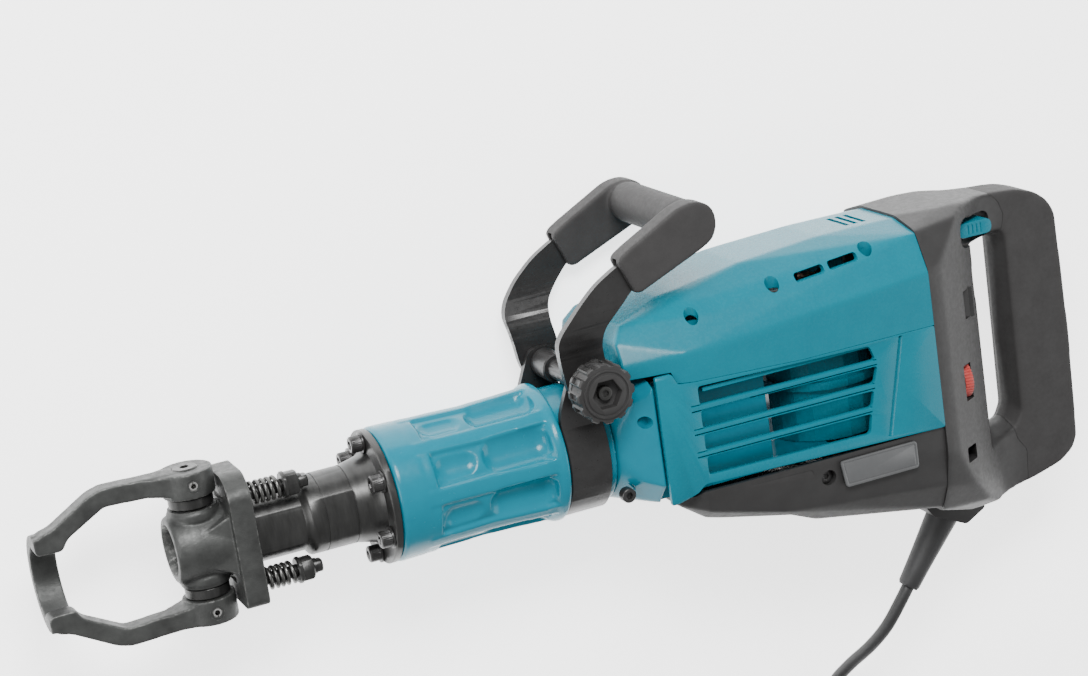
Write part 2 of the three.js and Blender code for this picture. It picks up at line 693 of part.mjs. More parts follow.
function switchLever() {
  const face = outline([[312, 86], [343, 86], [343, 100], [312, 100]], 7);
  return prism("Y", face, -31, 31, 4);
}

function speedDial() {
  const wheel = rod("X", [-38, -17], 15.5, 292, 299, 20);
  const axle = rod("X", [-38, -17], 2.5, 280, 310, 12);
  return wheel.subtract(axle);
}

function switchBlock() {
  return union(
    box([284, 306], [-24, 24], [30, 78]),
    box([290, 300], [-18, 18], [76, 82.5]),
  );
}

// ---- motor and hammer mechanism ----
function motorHousing() {
  const can = turnedUp([
    [-36.5, 0], [-36.5, 44], [4, 44], [4, 48], [10, 48], [10, 44], [46, 44], [58, 36], [58, 0],
  ], MOTOR_X);
  const space = turnedUp([[-32, 0], [-32, 40.5], [46, 40.5], [46, 0]], MOTOR_X);
  const ends = rod("Z", [MOTOR_X, 0], 12, -50, 70, 20);
  const windows = box([MOTOR_X - 60, MOTOR_X + 60], [-12, 12], [28, 40]);
  return can.subtract(space).subtract(ends).subtract(windows);
}

// A solid of revolution about a vertical axis at X, from [z, radius] pairs.
function turnedUp(profile, x, sides = 20) {
  const points = profile.map(([z, r]) => new THREE.Vector2(r, z));
  points.push(points[0].clone());
  return solid(new THREE.LatheGeometry(points, sides).rotateX(Math.PI / 2).translate(x, 0, 0));
}

function stator() {
  const ring = turnedUp([[-20, 27.5], [-20, 40], [20, 40], [20, 27.5]], MOTOR_X, 24);
  const coils = [1, -1].map((side) => {
    const y = side > 0 ? [28.5, 36.5] : [-36.5, -28.5];
    return box([MOTOR_X - 14, MOTOR_X + 14], y, [-27, 27]);
  });
  return union(ring, coils);
}

function armature() {
  return turnedUp([
    [-71, 0], [-71, 5], [-67, 5], [-67, PINION_R], [-56, PINION_R], [-56, 7], [-28, 7], [-28, 16],
    [-22, 26], [22, 26], [26, 14], [29, 14], [29, 17.5], [41, 17.5], [41, 7], [82, 7], [82, 0],
  ], MOTOR_X);
}

function coolingFan() {
  const x = MOTOR_X;
  const disc = turnedUp([[70, 7.3], [70, 36], [72, 36], [72, 7.3]], x, 20);
  const blades = [];
  for (let i = 0; i < 9; i++) {
    const blade = new THREE.BoxGeometry(24, 1.8, 9);
    blade.translate(24, 0, 74.5).rotateZ((i / 9) * Math.PI * 2).translate(x, 0, 0);
    blades.push(solid(blade));
  }
  return union(disc, blades);
}

function crankshaft() {
  const gear = turnedUp([
    [-55, 0], [-55, 9], [-54, CRANK_GEAR_R], [-45.5, CRANK_GEAR_R], [-45.5, 9], [-24, 9],
    [-24, 21], [-11, 21], [-11, 0],
  ], CRANK_X);
  const pin = rod("Z", [CRANK_X - CRANK_THROW, 0], 5.5, -12, -7 - 2 * GAP, 16);
  return union(gear, pin);
}

function idlerGear() {
  return turnedUp([
    [-70, 0], [-70, 6], [-66, 6], [-66, IDLER_BIG_R], [-57, IDLER_BIG_R], [-57, 12], [-54, 12],
    [-54, IDLER_SMALL_R], [-45.5, IDLER_SMALL_R], [-45.5, 6], [-37, 6], [-37, 0],
  ], IDLER_X, 24);
}

function connectingRod() {
  const small = rod("Z", [18, 0], 9, -7, 7, 14);
  const big = rod("Z", [CRANK_X - CRANK_THROW, 0], 12, -7, 7, 16);
  const beam = box([20, CRANK_X - CRANK_THROW - 4], [-5, 5], [-5, 5]);
  const pinHole = rod("Z", [18, 0], 5.2, -10, 10, 14);
  const crankHole = rod("Z", [CRANK_X - CRANK_THROW, 0], 9, -10, 10, 18);
  return union(small, big, beam).subtract(pinHole).subtract(crankHole);
}

function piston() {
  const crown = turned([
    [-6, 0], [-6, BORE_R - 0.4], [-2, BORE_R - 0.4], [-2, BORE_R - 2], [2, BORE_R - 2],
    [2, BORE_R - 0.4], [32, BORE_R - 0.4], [32, 0],
  ], 20);
  const slot = box([7, 40], [-13, 13], [-10, 10]);
  const pin = rod("Z", [18, 0], 4.9, -20, 20, 14);
  return union(crown.subtract(slot), pin);
}

function hammerCylinder() {
  const tubeWall = turned([
    [-86, BORE_R], [-86, CYL_R], [34, CYL_R], [34, BORE_R],
  ], 24);
  const port = rod("Z", [-40, 0], 3, -50, 50, 10);
  return tubeWall.subtract(port);
}

function striker() {
  return turned([
    [-72, 0], [-72, 14], [-60, 14], [-58, BORE_R - 0.5], [-34, BORE_R - 0.5], [-34, 0],
  ], 20);
}

function impactBolt() {
  return turned([
    [-163, 0], [-163, 13.5], [-140, 13.5], [-136, 18.8], [-118, 18.8], [-114, 13], [-92, 13],
    [-92, 0],
  ], 18);
}

function absorberWeight() {
  const weight = box([62, 96], [-23, 23], [62, 84]);
  const guide = rod("X", [0, ABSORBER_Z], 5, 26, 134, 14);
  return union(weight, guide);
}

// ---- supply cord ----
function cordClamp() {
  const blockEdge = outline([
    [262, -114.2], [300, -129.6], [318, -128.4], [318.9, -134.3], [301, -143.8], [272.8, -130],
  ], 2);
  return prism("Y", blockEdge, -14, 14);
}

const guardPoint = (along) => GUARD_TOP.clone().addScaledVector(GUARD_DIR, along);

function cordGuard() {
  const profile = [[0, 0], [11, 0], [11, 5], [10.3, 6]];
  for (let i = 0; i < 4; i++) {
    const z = 12 + i * 11;
    const shrink = i * 0.7;
    profile.push([10 - shrink, z], [8.9 - shrink, z + 1]);
    profile.push([8.9 - shrink, z + 4], [9.8 - shrink, z + 5]);
  }
  profile.push([7.4, GUARD_LENGTH], [0, GUARD_LENGTH]);
  const made = new THREE.LatheGeometry(profile.map(([r, z]) => new THREE.Vector2(r, z)), 12);
  const turn = new THREE.Quaternion().setFromUnitVectors(new THREE.Vector3(0, 1, 0), GUARD_DIR);
  made.applyQuaternion(turn);
  const top = guardPoint(6.5);
  return solid(made.translate(top.x, top.y, top.z));
}

// The cord leaves the guard, comes down to the resting surface and runs to the coil.
const FLOOR_Y = REST_Y - CORD_R - 0.3;
const COIL_X = 110;
const COIL_Z = -366;
const COIL_R = 65; // middle of the turns
const COIL_HALF = 26.3;
const COIL_Y = [REST_Y - 24.3, REST_Y - 3];
const TAIL_R = 97; // the last stretch runs round the outside of the coil
const PLUG_X = 68;

function cordRoute() {
  const start = guardPoint(6.5 + GUARD_LENGTH + GAP);
  return new THREE.CatmullRomCurve3([
    start,
    guardPoint(81),
    new THREE.Vector3(231, 6, -216),
    new THREE.Vector3(221, 20, -235),
    new THREE.Vector3(211.5, 40, -254),
    new THREE.Vector3(203.5, 56, -272),
    new THREE.Vector3(198.5, FLOOR_Y - 1, -288),
    new THREE.Vector3(196.8, FLOOR_Y, -304),
    new THREE.Vector3(196.2, FLOOR_Y, -322),
  ]);
}

function coilRing() {
  const [low, high] = COIL_Y;
  const inner = COIL_R - COIL_HALF;
  const outer = COIL_R + COIL_HALF;
  const profile = [
    [inner + 5, low], [outer - 5, low], [outer, low + 5], [outer, high - 5], [outer - 5, high],
    [inner + 5, high], [inner, high - 5], [inner, low + 5], [inner + 5, low],
  ].map(([r, y]) => new THREE.Vector2(r, y));
  return solid(new THREE.LatheGeometry(profile, 26).translate(COIL_X, 0, COIL_Z));
}

// A strap round the coil's section, on the side nearest the tool.
function cordTie() {
  const z = COIL_Z + COIL_R;
  const [low, high] = COIL_Y;
  const ring = (grow) =>
    box(
      grow > 2 ? [COIL_X - 7, COIL_X + 7] : [COIL_X - 9, COIL_X + 9],
      [low - grow, high + grow],
      [z - COIL_HALF - grow, z + COIL_HALF + grow],
    );
  return ring(2.7).subtract(ring(1.2));
}

function cordTail() {
  const points = [55, 65, 75, 85].map((degrees) => {
    const turn = (degrees * Math.PI) / 180;
    const x = COIL_X + TAIL_R * Math.cos(turn);
    return new THREE.Vector3(x, FLOOR_Y, COIL_Z - TAIL_R * Math.sin(turn));
  });
  for (const x of [COIL_X, (COIL_X + PLUG_X) / 2, PLUG_X + GAP]) {
    points.push(new THREE.Vector3(x, FLOOR_Y, COIL_Z - TAIL_R));
  }
  return solid(tube(new THREE.CatmullRomCurve3(points), CORD_R, 6, 10));
}

function plug() {
  const z = COIL_Z - TAIL_R;
  const y = REST_Y - 18;
  const top = REST_Y - GAP;
  const sections = [[0, 12, 7, 7], [14, 12, 9, 9], [22, 0, 16, 15], [52, 0, 17.5, 17]];
  const points = sections.flatMap(([back, drop, dy, dz]) =>
    [-1, 1].flatMap((side) => {
      const outer = Math.min(Math.max(y + drop + side * dy, y - dy), top);
      const x = PLUG_X - back;
      return [
        [x, y + drop + side * dy * 0.55, z + dz],
        [x, y + drop + side * dy * 0.55, z - dz],
        [x, outer, z + dz * 0.55],
        [x, outer, z - dz * 0.55],
      ];
    }),
  );
  const face = PLUG_X - 51;
  const blades = [6.35, -6.35].map((offset) =>
    box([face - 18, face], [y - 3.2, y + 3.2], [z + offset - 0.75, z + offset + 0.75]),
  );
  const earth = rod("X", [y - 11, z], 2.4, face - 21, face, 12);
  return union(hull(points), blades, earth);
}

// ---- the whole tool ----
node("tool_sleeve", toolSleeve(), FORGED());
node("retainer_housing", retainerHousing(), FORGED());
node("retainer_bail", retainerBail(), FORGED());
for (const [label, side] of [["upper", 1], ["lower", -1]]) {
  const spot = [DETENT_Y, side * DETENT_Z];
  const pin = rod("Y", [TRUNNION_X, side * 47], 3, -18.3, 18.3, 12);
  const pinBore = rod("Y", [TRUNNION_X, side * 47], 1.4, -20, 20, 8);
  node(`trunnion_${label}`, trunnion(side), FORGED());
  node(`bail_pin_${label}`, pin.subtract(pinBore), STEEL());
  node(`detent_bolt_${label}`, detentBolt(side), FORGED());
  node(`detent_nut_${label}`, detentNut(side), FORGED());
  node(`detent_spring_${label}`, spring(PLATE_REAR_X + GAP, -238, spot, 7.4, 1.3, 5), STEEL());
}
node("barrel", barrel(), TEAL());
flangeAngles().forEach((spot, i) => node(`flange_bolt_${i + 1}`, flangeBolt(spot), OXIDE()));
node("clamp_band", clampBand(), OXIDE());
node("clamp_spacer", clampSpacer(), OXIDE());
node("clamp_bolt", clampBolt(), STEEL());
node("clamp_knob", clampKnob(), BLACK());
node("side_handle_frame", sideHandleFrame(), OXIDE());
node("side_handle_grip", sideHandleGrip(), RUBBER());
node("crank_housing", crankHousing(), TEAL());
node("crank_case_bolt", crankCaseBolt(), OXIDE());
node("upper_shell", upperShell(), TEAL());
node("side_shell_near", sideShell(-1), TEAL());
node("side_shell_far", sideShell(1), TEAL());
node("belly_cover", bellyCover(), BLACK());
node("label_plate", labelPlate(), material(0x6d6f70, 0.4, 0.1));
node("rear_housing", rearHousing(), BLACK());
node("handle_grip", handleGrip(), RUBBER());
node("switch_lever", switchLever(), TEAL());
node("speed_dial", speedDial(), material(0x8a1f1c, 0.4, 0));
node("switch_block", switchBlock(), BLACK());
node("motor_housing", motorHousing(), TEAL());
node("stator", stator(), STEEL());
node("armature", armature(), STEEL());
node("cooling_fan", coolingFan(), BLACK());
node("idler_gear", idlerGear(), STEEL());
node("crankshaft", crankshaft(), STEEL());
node("connecting_rod", connectingRod(), STEEL());
node("piston", piston(), STEEL());
node("hammer_cylinder", hammerCylinder(), STEEL());
node("striker", striker(), STEEL());
node("impact_bolt", impactBolt(), STEEL());
node("absorber_weight", absorberWeight(), STEEL());
node("absorber_spring_front", spring(35.3, 61.7, [0, ABSORBER_Z], 8.5, 1.3, 4), STEEL());
node("absorber_spring_rear", spring(96.3, 123.2, [0, ABSORBER_Z], 8.5, 1.3, 4), STEEL());
node("cord_clamp", cordClamp(), BLACK());
node("cord_guard", cordGuard(), CORD());
node("cord_lead", solid(tube(cordRoute(), CORD_R, 14, 10)), CORD());
node("cord_coil", coilRing(), CORD());
node("cord_tie", cordTie(), BLACK());
node("cord_tail", cordTail(), CORD());
node("plug", plug(), BLACK());

// Laid on its +Y side, with the origin under the middle of the tool.
group.rotation.x = -Math.PI / 2;
group.position.set(-BOX_CENTRE_X, -BOX_CENTRE_Z, REST_Y);
const jackhammer = new THREE.Group();
jackhammer.name = "jackhammer";
jackhammer.add(group);

export default jackhammer;
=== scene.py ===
"""Blender looks for the electric jackhammer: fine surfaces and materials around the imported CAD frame.
Shapes are drawn in the tool's own axes in millimetres, as in the CAD: X runs back along the barrel,
Z is the top of the tool and -Y the side with the clamp knob. TO_ROW lays them down in metres."""

import math
import bpy
import bmesh
from mathutils import Matrix, Vector


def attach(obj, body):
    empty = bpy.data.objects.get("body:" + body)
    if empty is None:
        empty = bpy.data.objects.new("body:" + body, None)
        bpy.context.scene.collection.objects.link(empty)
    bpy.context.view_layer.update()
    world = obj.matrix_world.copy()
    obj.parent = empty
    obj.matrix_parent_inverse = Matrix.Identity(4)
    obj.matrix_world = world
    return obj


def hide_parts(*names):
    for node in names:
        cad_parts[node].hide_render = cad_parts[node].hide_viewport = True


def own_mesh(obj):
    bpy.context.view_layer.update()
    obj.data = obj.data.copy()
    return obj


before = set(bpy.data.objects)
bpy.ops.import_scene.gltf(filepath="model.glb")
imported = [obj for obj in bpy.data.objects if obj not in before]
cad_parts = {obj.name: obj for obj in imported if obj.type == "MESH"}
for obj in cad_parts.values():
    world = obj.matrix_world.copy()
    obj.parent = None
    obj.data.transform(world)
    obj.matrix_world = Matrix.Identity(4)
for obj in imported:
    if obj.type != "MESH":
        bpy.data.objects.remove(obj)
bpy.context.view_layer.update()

REST_Y = 69.0
CENTRE_X = -1.9
CENTRE_Z = 15.1
S = 0.001
TO_ROW = Matrix((
    (S, 0, 0, -CENTRE_X * S),
    (0, 0, S, -CENTRE_Z * S),
    (0, -S, 0, REST_Y * S),
    (0, 0, 0, 1),
))


def row(x, y, z):
    return TO_ROW @ Vector((x, y, z))


# ---------------------------------------------------------------- camera
def make_camera():
    data = bpy.data.cameras.new("camera")
    data.sensor_width = 36
    data.lens = 88.88
    data.clip_end = 50
    cam = bpy.data.objects.new("camera", data)
    bpy.context.scene.collection.objects.link(cam)
    right = Vector((0.91408, -0.14606, 0.37831))
    up = Vector((0.23013, 0.95495, -0.18736))
    ahead = Vector((0.33390, -0.25833, -0.90652))
    place = row(-673.15, -1772.83, 588.90)
    cam.matrix_world = Matrix((
        (right.x, up.x, -ahead.x, place.x),
        (right.y, up.y, -ahead.y, place.y),
        (right.z, up.z, -ahead.z, place.z),
        (0, 0, 0, 1),
    ))
    bpy.context.scene.camera = cam


make_camera()


# ---------------------------------------------------------------- materials
def _bsdf(name):
    mat = bpy.data.materials.new(name)
    mat.use_nodes = True
    nodes = mat.node_tree.nodes
    return mat, nodes, mat.node_tree.links, nodes["Principled BSDF"]


def _noise(nodes, links, coord, scale, detail=3.0, roughness=0.55, stretch=None):
    tex = nodes.new("ShaderNodeTexNoise")
    tex.inputs["Scale"].default_value = scale
    tex.inputs["Detail"].default_value = detail
    tex.inputs["Roughness"].default_value = roughness
    if stretch:
        mapping = nodes.new("ShaderNodeMapping")
        mapping.inputs["Scale"].default_value = stretch
        links.new(coord.outputs["Object"], mapping.inputs["Vector"])
        links.new(mapping.outputs["Vector"], tex.inputs["Vector"])
    else:
        links.new(coord.outputs["Object"], tex.inputs["Vector"])
    return tex


def _ramp(nodes, links, source, stops):
    ramp = nodes.new("ShaderNodeValToRGB")
    while len(ramp.color_ramp.elements) < len(stops):
        ramp.color_ramp.elements.new(0.5)
    for element, (at, colour) in zip(ramp.color_ramp.elements, stops):
        element.position = at
        element.color = (*colour, 1)
    links.new(source, ramp.inputs["Fac"])
    return ramp


def surface(name, low, high, rough, metal=0.0, grain=None, patches=60.0, coat=0.0, wear=None,
            stretch=None, specular=0.5):
    """A colour that drifts between low and high, a roughness range, and a bump of one or two grains
    given as (scale per metre, strength, depth in metres)."""
    mat, nodes, links, bsdf = _bsdf(name)
    coord = nodes.new("ShaderNodeTexCoord")
    drift = _noise(nodes, links, coord, patches, 4.0, 0.6, stretch)
    colour = _ramp(nodes, links, drift.outputs["Fac"], [(0.3, low), (0.7, high)])
    base = colour.outputs["Color"]
    if wear:
        edge = nodes.new("ShaderNodeNewGeometry")
        sharp = _ramp(nodes, links, edge.outputs["Pointiness"],
                      [(0.52, (0, 0, 0)), (0.60, (1, 1, 1))])
        scratch = _noise(nodes, links, coord, 240.0, 4.0, 0.7)
        cut = _ramp(nodes, links, scratch.outputs["Fac"], [(0.45, (0, 0, 0)), (0.62, (1, 1, 1))])
        worn = nodes.new("ShaderNodeMath")
        worn.operation = "MULTIPLY"
        links.new(sharp.outputs["Color"], worn.inputs[0])
        links.new(cut.outputs["Color"], worn.inputs[1])
        mix = nodes.new("ShaderNodeMix")
        mix.data_type = "RGBA"
        mix.inputs["B"].default_value = (*wear, 1)
        links.new(worn.outputs[0], mix.inputs["Factor"])
        links.new(base, mix.inputs["A"])
        base = mix.outputs["Result"]
    links.new(base, bsdf.inputs["Base Color"])
    spots = _noise(nodes, links, coord, patches * 5, 5.0, 0.6, stretch)
    spread = nodes.new("ShaderNodeMapRange")
    spread.inputs["From Min"].default_value = 0.3
    spread.inputs["From Max"].default_value = 0.7
    spread.inputs["To Min"].default_value = rough[0]
    spread.inputs["To Max"].default_value = rough[1]
    links.new(spots.outputs["Fac"], spread.inputs["Value"])
    links.new(spread.outputs["Result"], bsdf.inputs["Roughness"])
    bsdf.inputs["Metallic"].default_value = metal
    bsdf.inputs["Coat Weight"].default_value = coat
    bsdf.inputs["Coat Roughness"].default_value = 0.12
    bsdf.inputs["Specular IOR Level"].default_value = specular
    normal = None
    for scale, strength, depth in grain or ():
        tex = _noise(nodes, links, coord, scale, 2.0, 0.5)
        bump = nodes.new("ShaderNodeBump")
        bump.inputs["Strength"].default_value = strength
        bump.inputs["Distance"].default_value = depth
        links.new(tex.outputs["Fac"], bump.inputs["Height"])
        if normal:
            links.new(normal, bump.inputs["Normal"])
        normal = bump.outputs["Normal"]
    if normal:
        links.new(normal, bsdf.inputs["Normal"])
    return mat


TEAL_PAINT = surface("teal_paint", (0.0, 0.128, 0.184), (0.0, 0.138, 0.196), (0.18, 0.28),
                     grain=[(90, 0.10, 0.0006), (1500, 0.05, 0.00008)], coat=0.1, specular=0.2)
TEAL_PLASTIC = surface("teal_plastic", (0.0, 0.118, 0.164), (0.0, 0.127, 0.174), (0.22, 0.32),
                       grain=[(2600, 0.12, 0.00006)], specular=0.2)
BLACK_PLASTIC = surface("black_plastic", (0.016, 0.0155, 0.0155), (0.021, 0.0205, 0.0205), (0.44, 0.56),
                        grain=[(1800, 0.35, 0.0001)], specular=0.35)
RUBBER = surface("rubber", (0.022, 0.021, 0.021), (0.028, 0.027, 0.027), (0.60, 0.74),
                 grain=[(1300, 0.45, 0.00018)], specular=0.3)
FORGED = surface("forged_steel", (0.030, 0.031, 0.030), (0.060, 0.062, 0.060), (0.38, 0.60), metal=0.55,
                 grain=[(160, 0.25, 0.0008), (900, 0.35, 0.0003)], patches=45, wear=(0.30, 0.30, 0.29))
MACHINED = surface("machined_dark", (0.030, 0.030, 0.0295), (0.050, 0.050, 0.049), (0.28, 0.40),
                   metal=0.75, grain=[(700, 0.10, 0.0001)], stretch=(3, 0.6, 0.6))
OXIDE = surface("black_oxide", (0.014, 0.0135, 0.0135), (0.020, 0.0195, 0.0195), (0.26, 0.38), metal=0.2,
                grain=[(500, 0.12, 0.00015)])
STEEL = surface("bright_steel", (0.50, 0.50, 0.49), (0.62, 0.62, 0.61), (0.22, 0.34), metal=1.0,
                grain=[(900, 0.10, 0.00008)], stretch=(1, 6, 1))
SPRING_STEEL = surface("spring_steel", (0.07, 0.07, 0.068), (0.12, 0.12, 0.116), (0.24, 0.36), metal=0.9,
                       grain=[(1200, 0.10, 0.00008)])
COPPER = surface("winding", (0.40, 0.17, 0.08), (0.52, 0.24, 0.12), (0.30, 0.45), metal=0.8,
                 grain=[(1500, 0.5, 0.0004)], stretch=(1, 8, 1))
CORD_RUBBER = surface("cord_rubber", (0.010, 0.010, 0.0105), (0.015, 0.015, 0.0155), (0.48, 0.60),
                      grain=[(1600, 0.25, 0.0001)])
LABEL = surface("label_foil", (0.070, 0.072, 0.074), (0.085, 0.087, 0.089), (0.35, 0.45), metal=0.2,
                grain=[(2200, 0.10, 0.00005)])
# painted shade: near black, darker than the black plastic, for the back of a recess where shadow falls
PAINTED_SHADE = surface("painted_shade_inside", (0.006, 0.006, 0.006), (0.010, 0.010, 0.010), (0.7, 0.85),
               grain=[(600, 0.2, 0.0003)])
DIAL_RED = surface("dial_red", (0.30, 0.030, 0.025), (0.38, 0.042, 0.034), (0.35, 0.45),
                   grain=[(1500, 0.2, 0.0001)])


# ---------------------------------------------------------------- solids, in tool millimetres
def _object(name, mesh):
    obj = bpy.data.objects.new(name, mesh)
    bpy.context.scene.collection.objects.link(obj)
    return obj


def _mesh(bm):
    bmesh.ops.recalc_face_normals(bm, faces=bm.faces)
    mesh = bpy.data.meshes.new("solid")
    bm.to_mesh(mesh)
    bm.free()
    return mesh


class Solid:
    """A closed mesh that joins with +, cuts with - and keeps what is common with &."""

    def __init__(self, mesh):
        self.obj = _object("work", mesh)

    def _with(self, others, operation):
        for other in others if isinstance(others, (list, tuple)) else [others]:
            mod = self.obj.modifiers.new("b", "BOOLEAN")
            mod.operation = operation
            mod.solver = "MANIFOLD"
            mod.object = other.obj
            self.apply()
            bpy.data.objects.remove(other.obj)
        return self

    def __add__(self, others):
        return self._with(others, "UNION")

    def __sub__(self, others):
        return self._with(others, "DIFFERENCE")

    def __and__(self, others):
        return self._with(others, "INTERSECT")

    def apply(self):
        graph = bpy.context.evaluated_depsgraph_get()
        made = bpy.data.meshes.new_from_object(self.obj.evaluated_get(graph))
        self.obj.modifiers.clear()
        old = self.obj.data
        self.obj.data = made
        bpy.data.meshes.remove(old)
        return self

    def modify(self, kind, **values):
        mod = self.obj.modifiers.new("m", kind)
        for key, value in values.items():
            setattr(mod, key, value)
        return self.apply()


PLANES = {"X": lambda u, v, d: (d, u, v), "Y": lambda u, v, d: (u, d, v), "Z": lambda u, v, d: (u, v, d)}


def rounded(points, radius, steps=5):
    """The corners of an outline, each replaced by a short curve."""
    out = []
    count = len(points)
    for i, (x, y) in enumerate(points):
        px, py = points[i - 1]
        nx, ny = points[(i + 1) % count]
        back, on = math.hypot(px - x, py - y), math.hypot(nx - x, ny - y)
        cut = min(radius, back / 2.1, on / 2.1)
        if cut < 0.05:
            out.append((x, y))
            continue
        a = (x + (px - x) * cut / back, y + (py - y) * cut / back)
        b = (x + (nx - x) * cut / on, y + (ny - y) * cut / on)
        for k in range(steps + 1):
            t = k / steps
            out.append(tuple((1 - t) ** 2 * a[j] + 2 * t * (1 - t) * (x, y)[j] + t * t * b[j]
                             for j in (0, 1)))
    return out


def prism(axis, points, low, high):
    bm = bmesh.new()
    place = PLANES[axis]
    rings = [[bm.verts.new(place(u, v, d)) for u, v in points] for d in (low, high)]
    bm.faces.new(rings[0])
    bm.faces.new(rings[1])
    for i in range(len(points)):
        j = (i + 1) % len(points)
        bm.faces.new((rings[0][i], rings[0][j], rings[1][j], rings[1][i]))
    return Solid(_mesh(bm))


def box(x, y, z):
    return prism("Z", [(x[0], y[0]), (x[1], y[0]), (x[1], y[1]), (x[0], y[1])], *z)


def circle(a, b, radius, sides=48):
    turns = [i / sides * 2 * math.pi for i in range(sides)]
    return [(a + radius * math.cos(t), b + radius * math.sin(t)) for t in turns]


def rod(axis, centre, radius, low, high, sides=48):
    return prism(axis, circle(*centre, radius, sides), low, high)


def hexagon(a, b, flats):
    return circle(a, b, flats / math.sqrt(3), 6)


def lathe(profile, sides=96, axis="X", centre=(0, 0)):
    """A solid of revolution from (along, radius) pairs; a zero radius is a point on the axis."""
    bm = bmesh.new()
    place = PLANES[axis]
    rings = []
    for along, radius in profile:
        if radius < 1e-6:
            rings.append([bm.verts.new(place(*centre, along))])
        else:
            rings.append([bm.verts.new(place(u, v, along)) for u, v in circle(*centre, radius, sides)])
    for i, ring in enumerate(rings):
        nxt = rings[(i + 1) % len(rings)]
        for k in range(sides):
            m = (k + 1) % sides
            if len(ring) == 1 and len(nxt) == 1:
                break
            if len(ring) == 1:
                bm.faces.new((ring[0], nxt[k], nxt[m]))
            elif len(nxt) == 1:
                bm.faces.new((ring[k], ring[m], nxt[0]))
            else:
                bm.faces.new((ring[k], ring[m], nxt[m], nxt[k]))
    return Solid(_mesh(bm))


def hull(points):
    bm = bmesh.new()
    for point in points:
        bm.verts.new(point)
    bmesh.ops.convex_hull(bm, input=bm.verts)
    bmesh.ops.delete(bm, geom=[v for v in bm.verts if not v.link_faces], context="VERTS")
    return Solid(_mesh(bm))


def both(points):
    """The points, and their mirror images on the far side."""
    return [p for x, y, z in points for p in ((x, y, z), (x, -y, z))]


def side_name(side):
    return "far" if side > 0 else "near"


def span(side, a, b):
    """The run between two distances from the middle, on one side of it."""
    return sorted((side * a, side * b))


def copy_of(solid):
    return Solid(solid.obj.data.copy())


def mould(solid, voxel, relax):
    """Turns a faceted blank into a smooth moulded one."""
    solid.modify("REMESH", mode="VOXEL", voxel_size=voxel)
    return solid.modify("SMOOTH", factor=0.5, iterations=relax)


def finish(solid, name, body, material, replaces=(), bevel=0.0, segments=2, angle=35):
    """Rounds a solid's edges, lays it into the row and hangs it on its body."""
    if bevel:
        solid.modify("BEVEL", width=bevel, segments=segments, limit_method="ANGLE",
                     angle_limit=math.radians(30), use_clamp_overlap=True, harden_normals=False)
    obj = solid.obj
    obj.name = name
    obj.data.name = name
    obj.data.transform(TO_ROW)
    obj.data.materials.clear()
    obj.data.materials.append(material)
    for poly in obj.data.polygons:
        poly.use_smooth = True
    obj.data.set_sharp_from_angle(angle=math.radians(angle))
    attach(obj, body)
    if replaces:
        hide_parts(*replaces)
    return obj


# ---------------------------------------------------------------- supply cord
GUARD_TOP = Vector((290, 0, -133))
GUARD_DIR = Vector((-43.7, 0, -58.4)).normalized()
FLOOR_Y = 63.7
COIL_X = 110
COIL_Z = -366
COIL_COLUMNS = (85.8, 75.4, 65.0, 54.6, 44.2)
COIL_LAYERS = (61.0, 50.6)
COIL_TURNS = 9
TAIL_R = 97
PLUG_X = 68
CORD_R = 5.0


def guard_point(along):
    return tuple(GUARD_TOP + GUARD_DIR * along)


def ease(t):
    t = min(1.0, max(0.0, t))
    return t * t * (3 - 2 * t)


def coil_point(radius, y, degrees):
    turn = math.radians(degrees)
    return (COIL_X + radius * math.cos(turn), y, COIL_Z - radius * math.sin(turn))


def cord_points():
    """Guard, drop to the floor, two layers of turns, and the tail round the outside to the plug."""
    points = [guard_point(along) for along in (-2, 20, 42, 62, 76)]
    points += [(231, 6, -216), (221, 20, -235), (211.5, 40, -254), (203.5, 56, -272),
               (198.5, 62.7, -288), (196.8, 63.6, -304), (196.2, 63.2, -322), (195.9, 62.2, -344)]
    seats = [(r, COIL_LAYERS[0]) for r in COIL_COLUMNS]
    seats += [(r, COIL_LAYERS[1]) for r in reversed(COIL_COLUMNS)]
    for step in range(COIL_TURNS * 18 + 1):
        turn, degrees = divmod(step * 20, 360)
        near, far = seats[turn], seats[min(turn + 1, len(seats) - 1)]
        f = ease((degrees - 110) / 100)
        points.append(coil_point(near[0] + (far[0] - near[0]) * f, near[1] + (far[1] - near[1]) * f,
                                 degrees))
    for degrees in (15, 30, 45, 60, 75, 90):
        radius = COIL_COLUMNS[0] + (TAIL_R - COIL_COLUMNS[0]) * ease(degrees / 45)
        y = COIL_LAYERS[1] + (FLOOR_Y - COIL_LAYERS[1]) * ease((degrees - 8) / 55)
        points.append(coil_point(radius, y, degrees))
    points += [(COIL_X - 21, FLOOR_Y, COIL_Z - TAIL_R), (PLUG_X - 2, FLOOR_Y, COIL_Z - TAIL_R)]
    return points


def smooth_path(points, steps):
    pts = [Vector(p) for p in points]
    pts = [2 * pts[0] - pts[1], *pts, 2 * pts[-1] - pts[-2]]
    out = []
    for a, b, c, d in zip(pts, pts[1:], pts[2:], pts[3:]):
        for k in range(steps):
            t = k / steps
            out.append(0.5 * (2 * b + (c - a) * t + (2 * a - 5 * b + 4 * c - d) * t * t
                              + (3 * b - a - 3 * c + d) * t ** 3))
    out.append(pts[-2])
    return out


def path_length(path):
    return sum((b - a).length for a, b in zip(path, path[1:]))


def wire(name, path, radius, material, resolution=3):
    data = bpy.data.curves.new(name, "CURVE")
    data.dimensions = "3D"
    data.bevel_depth = radius * S
    data.bevel_resolution = resolution
    data.use_fill_caps = True
    line = data.splines.new("POLY")
    line.points.add(len(path) - 1)
    for point, place in zip(line.points, path):
        point.co = (*(TO_ROW @ place), 1)
    line.use_smooth = True
    data.materials.append(material)
    obj = bpy.data.objects.new(name, data)
    bpy.context.scene.collection.objects.link(obj)
    return obj


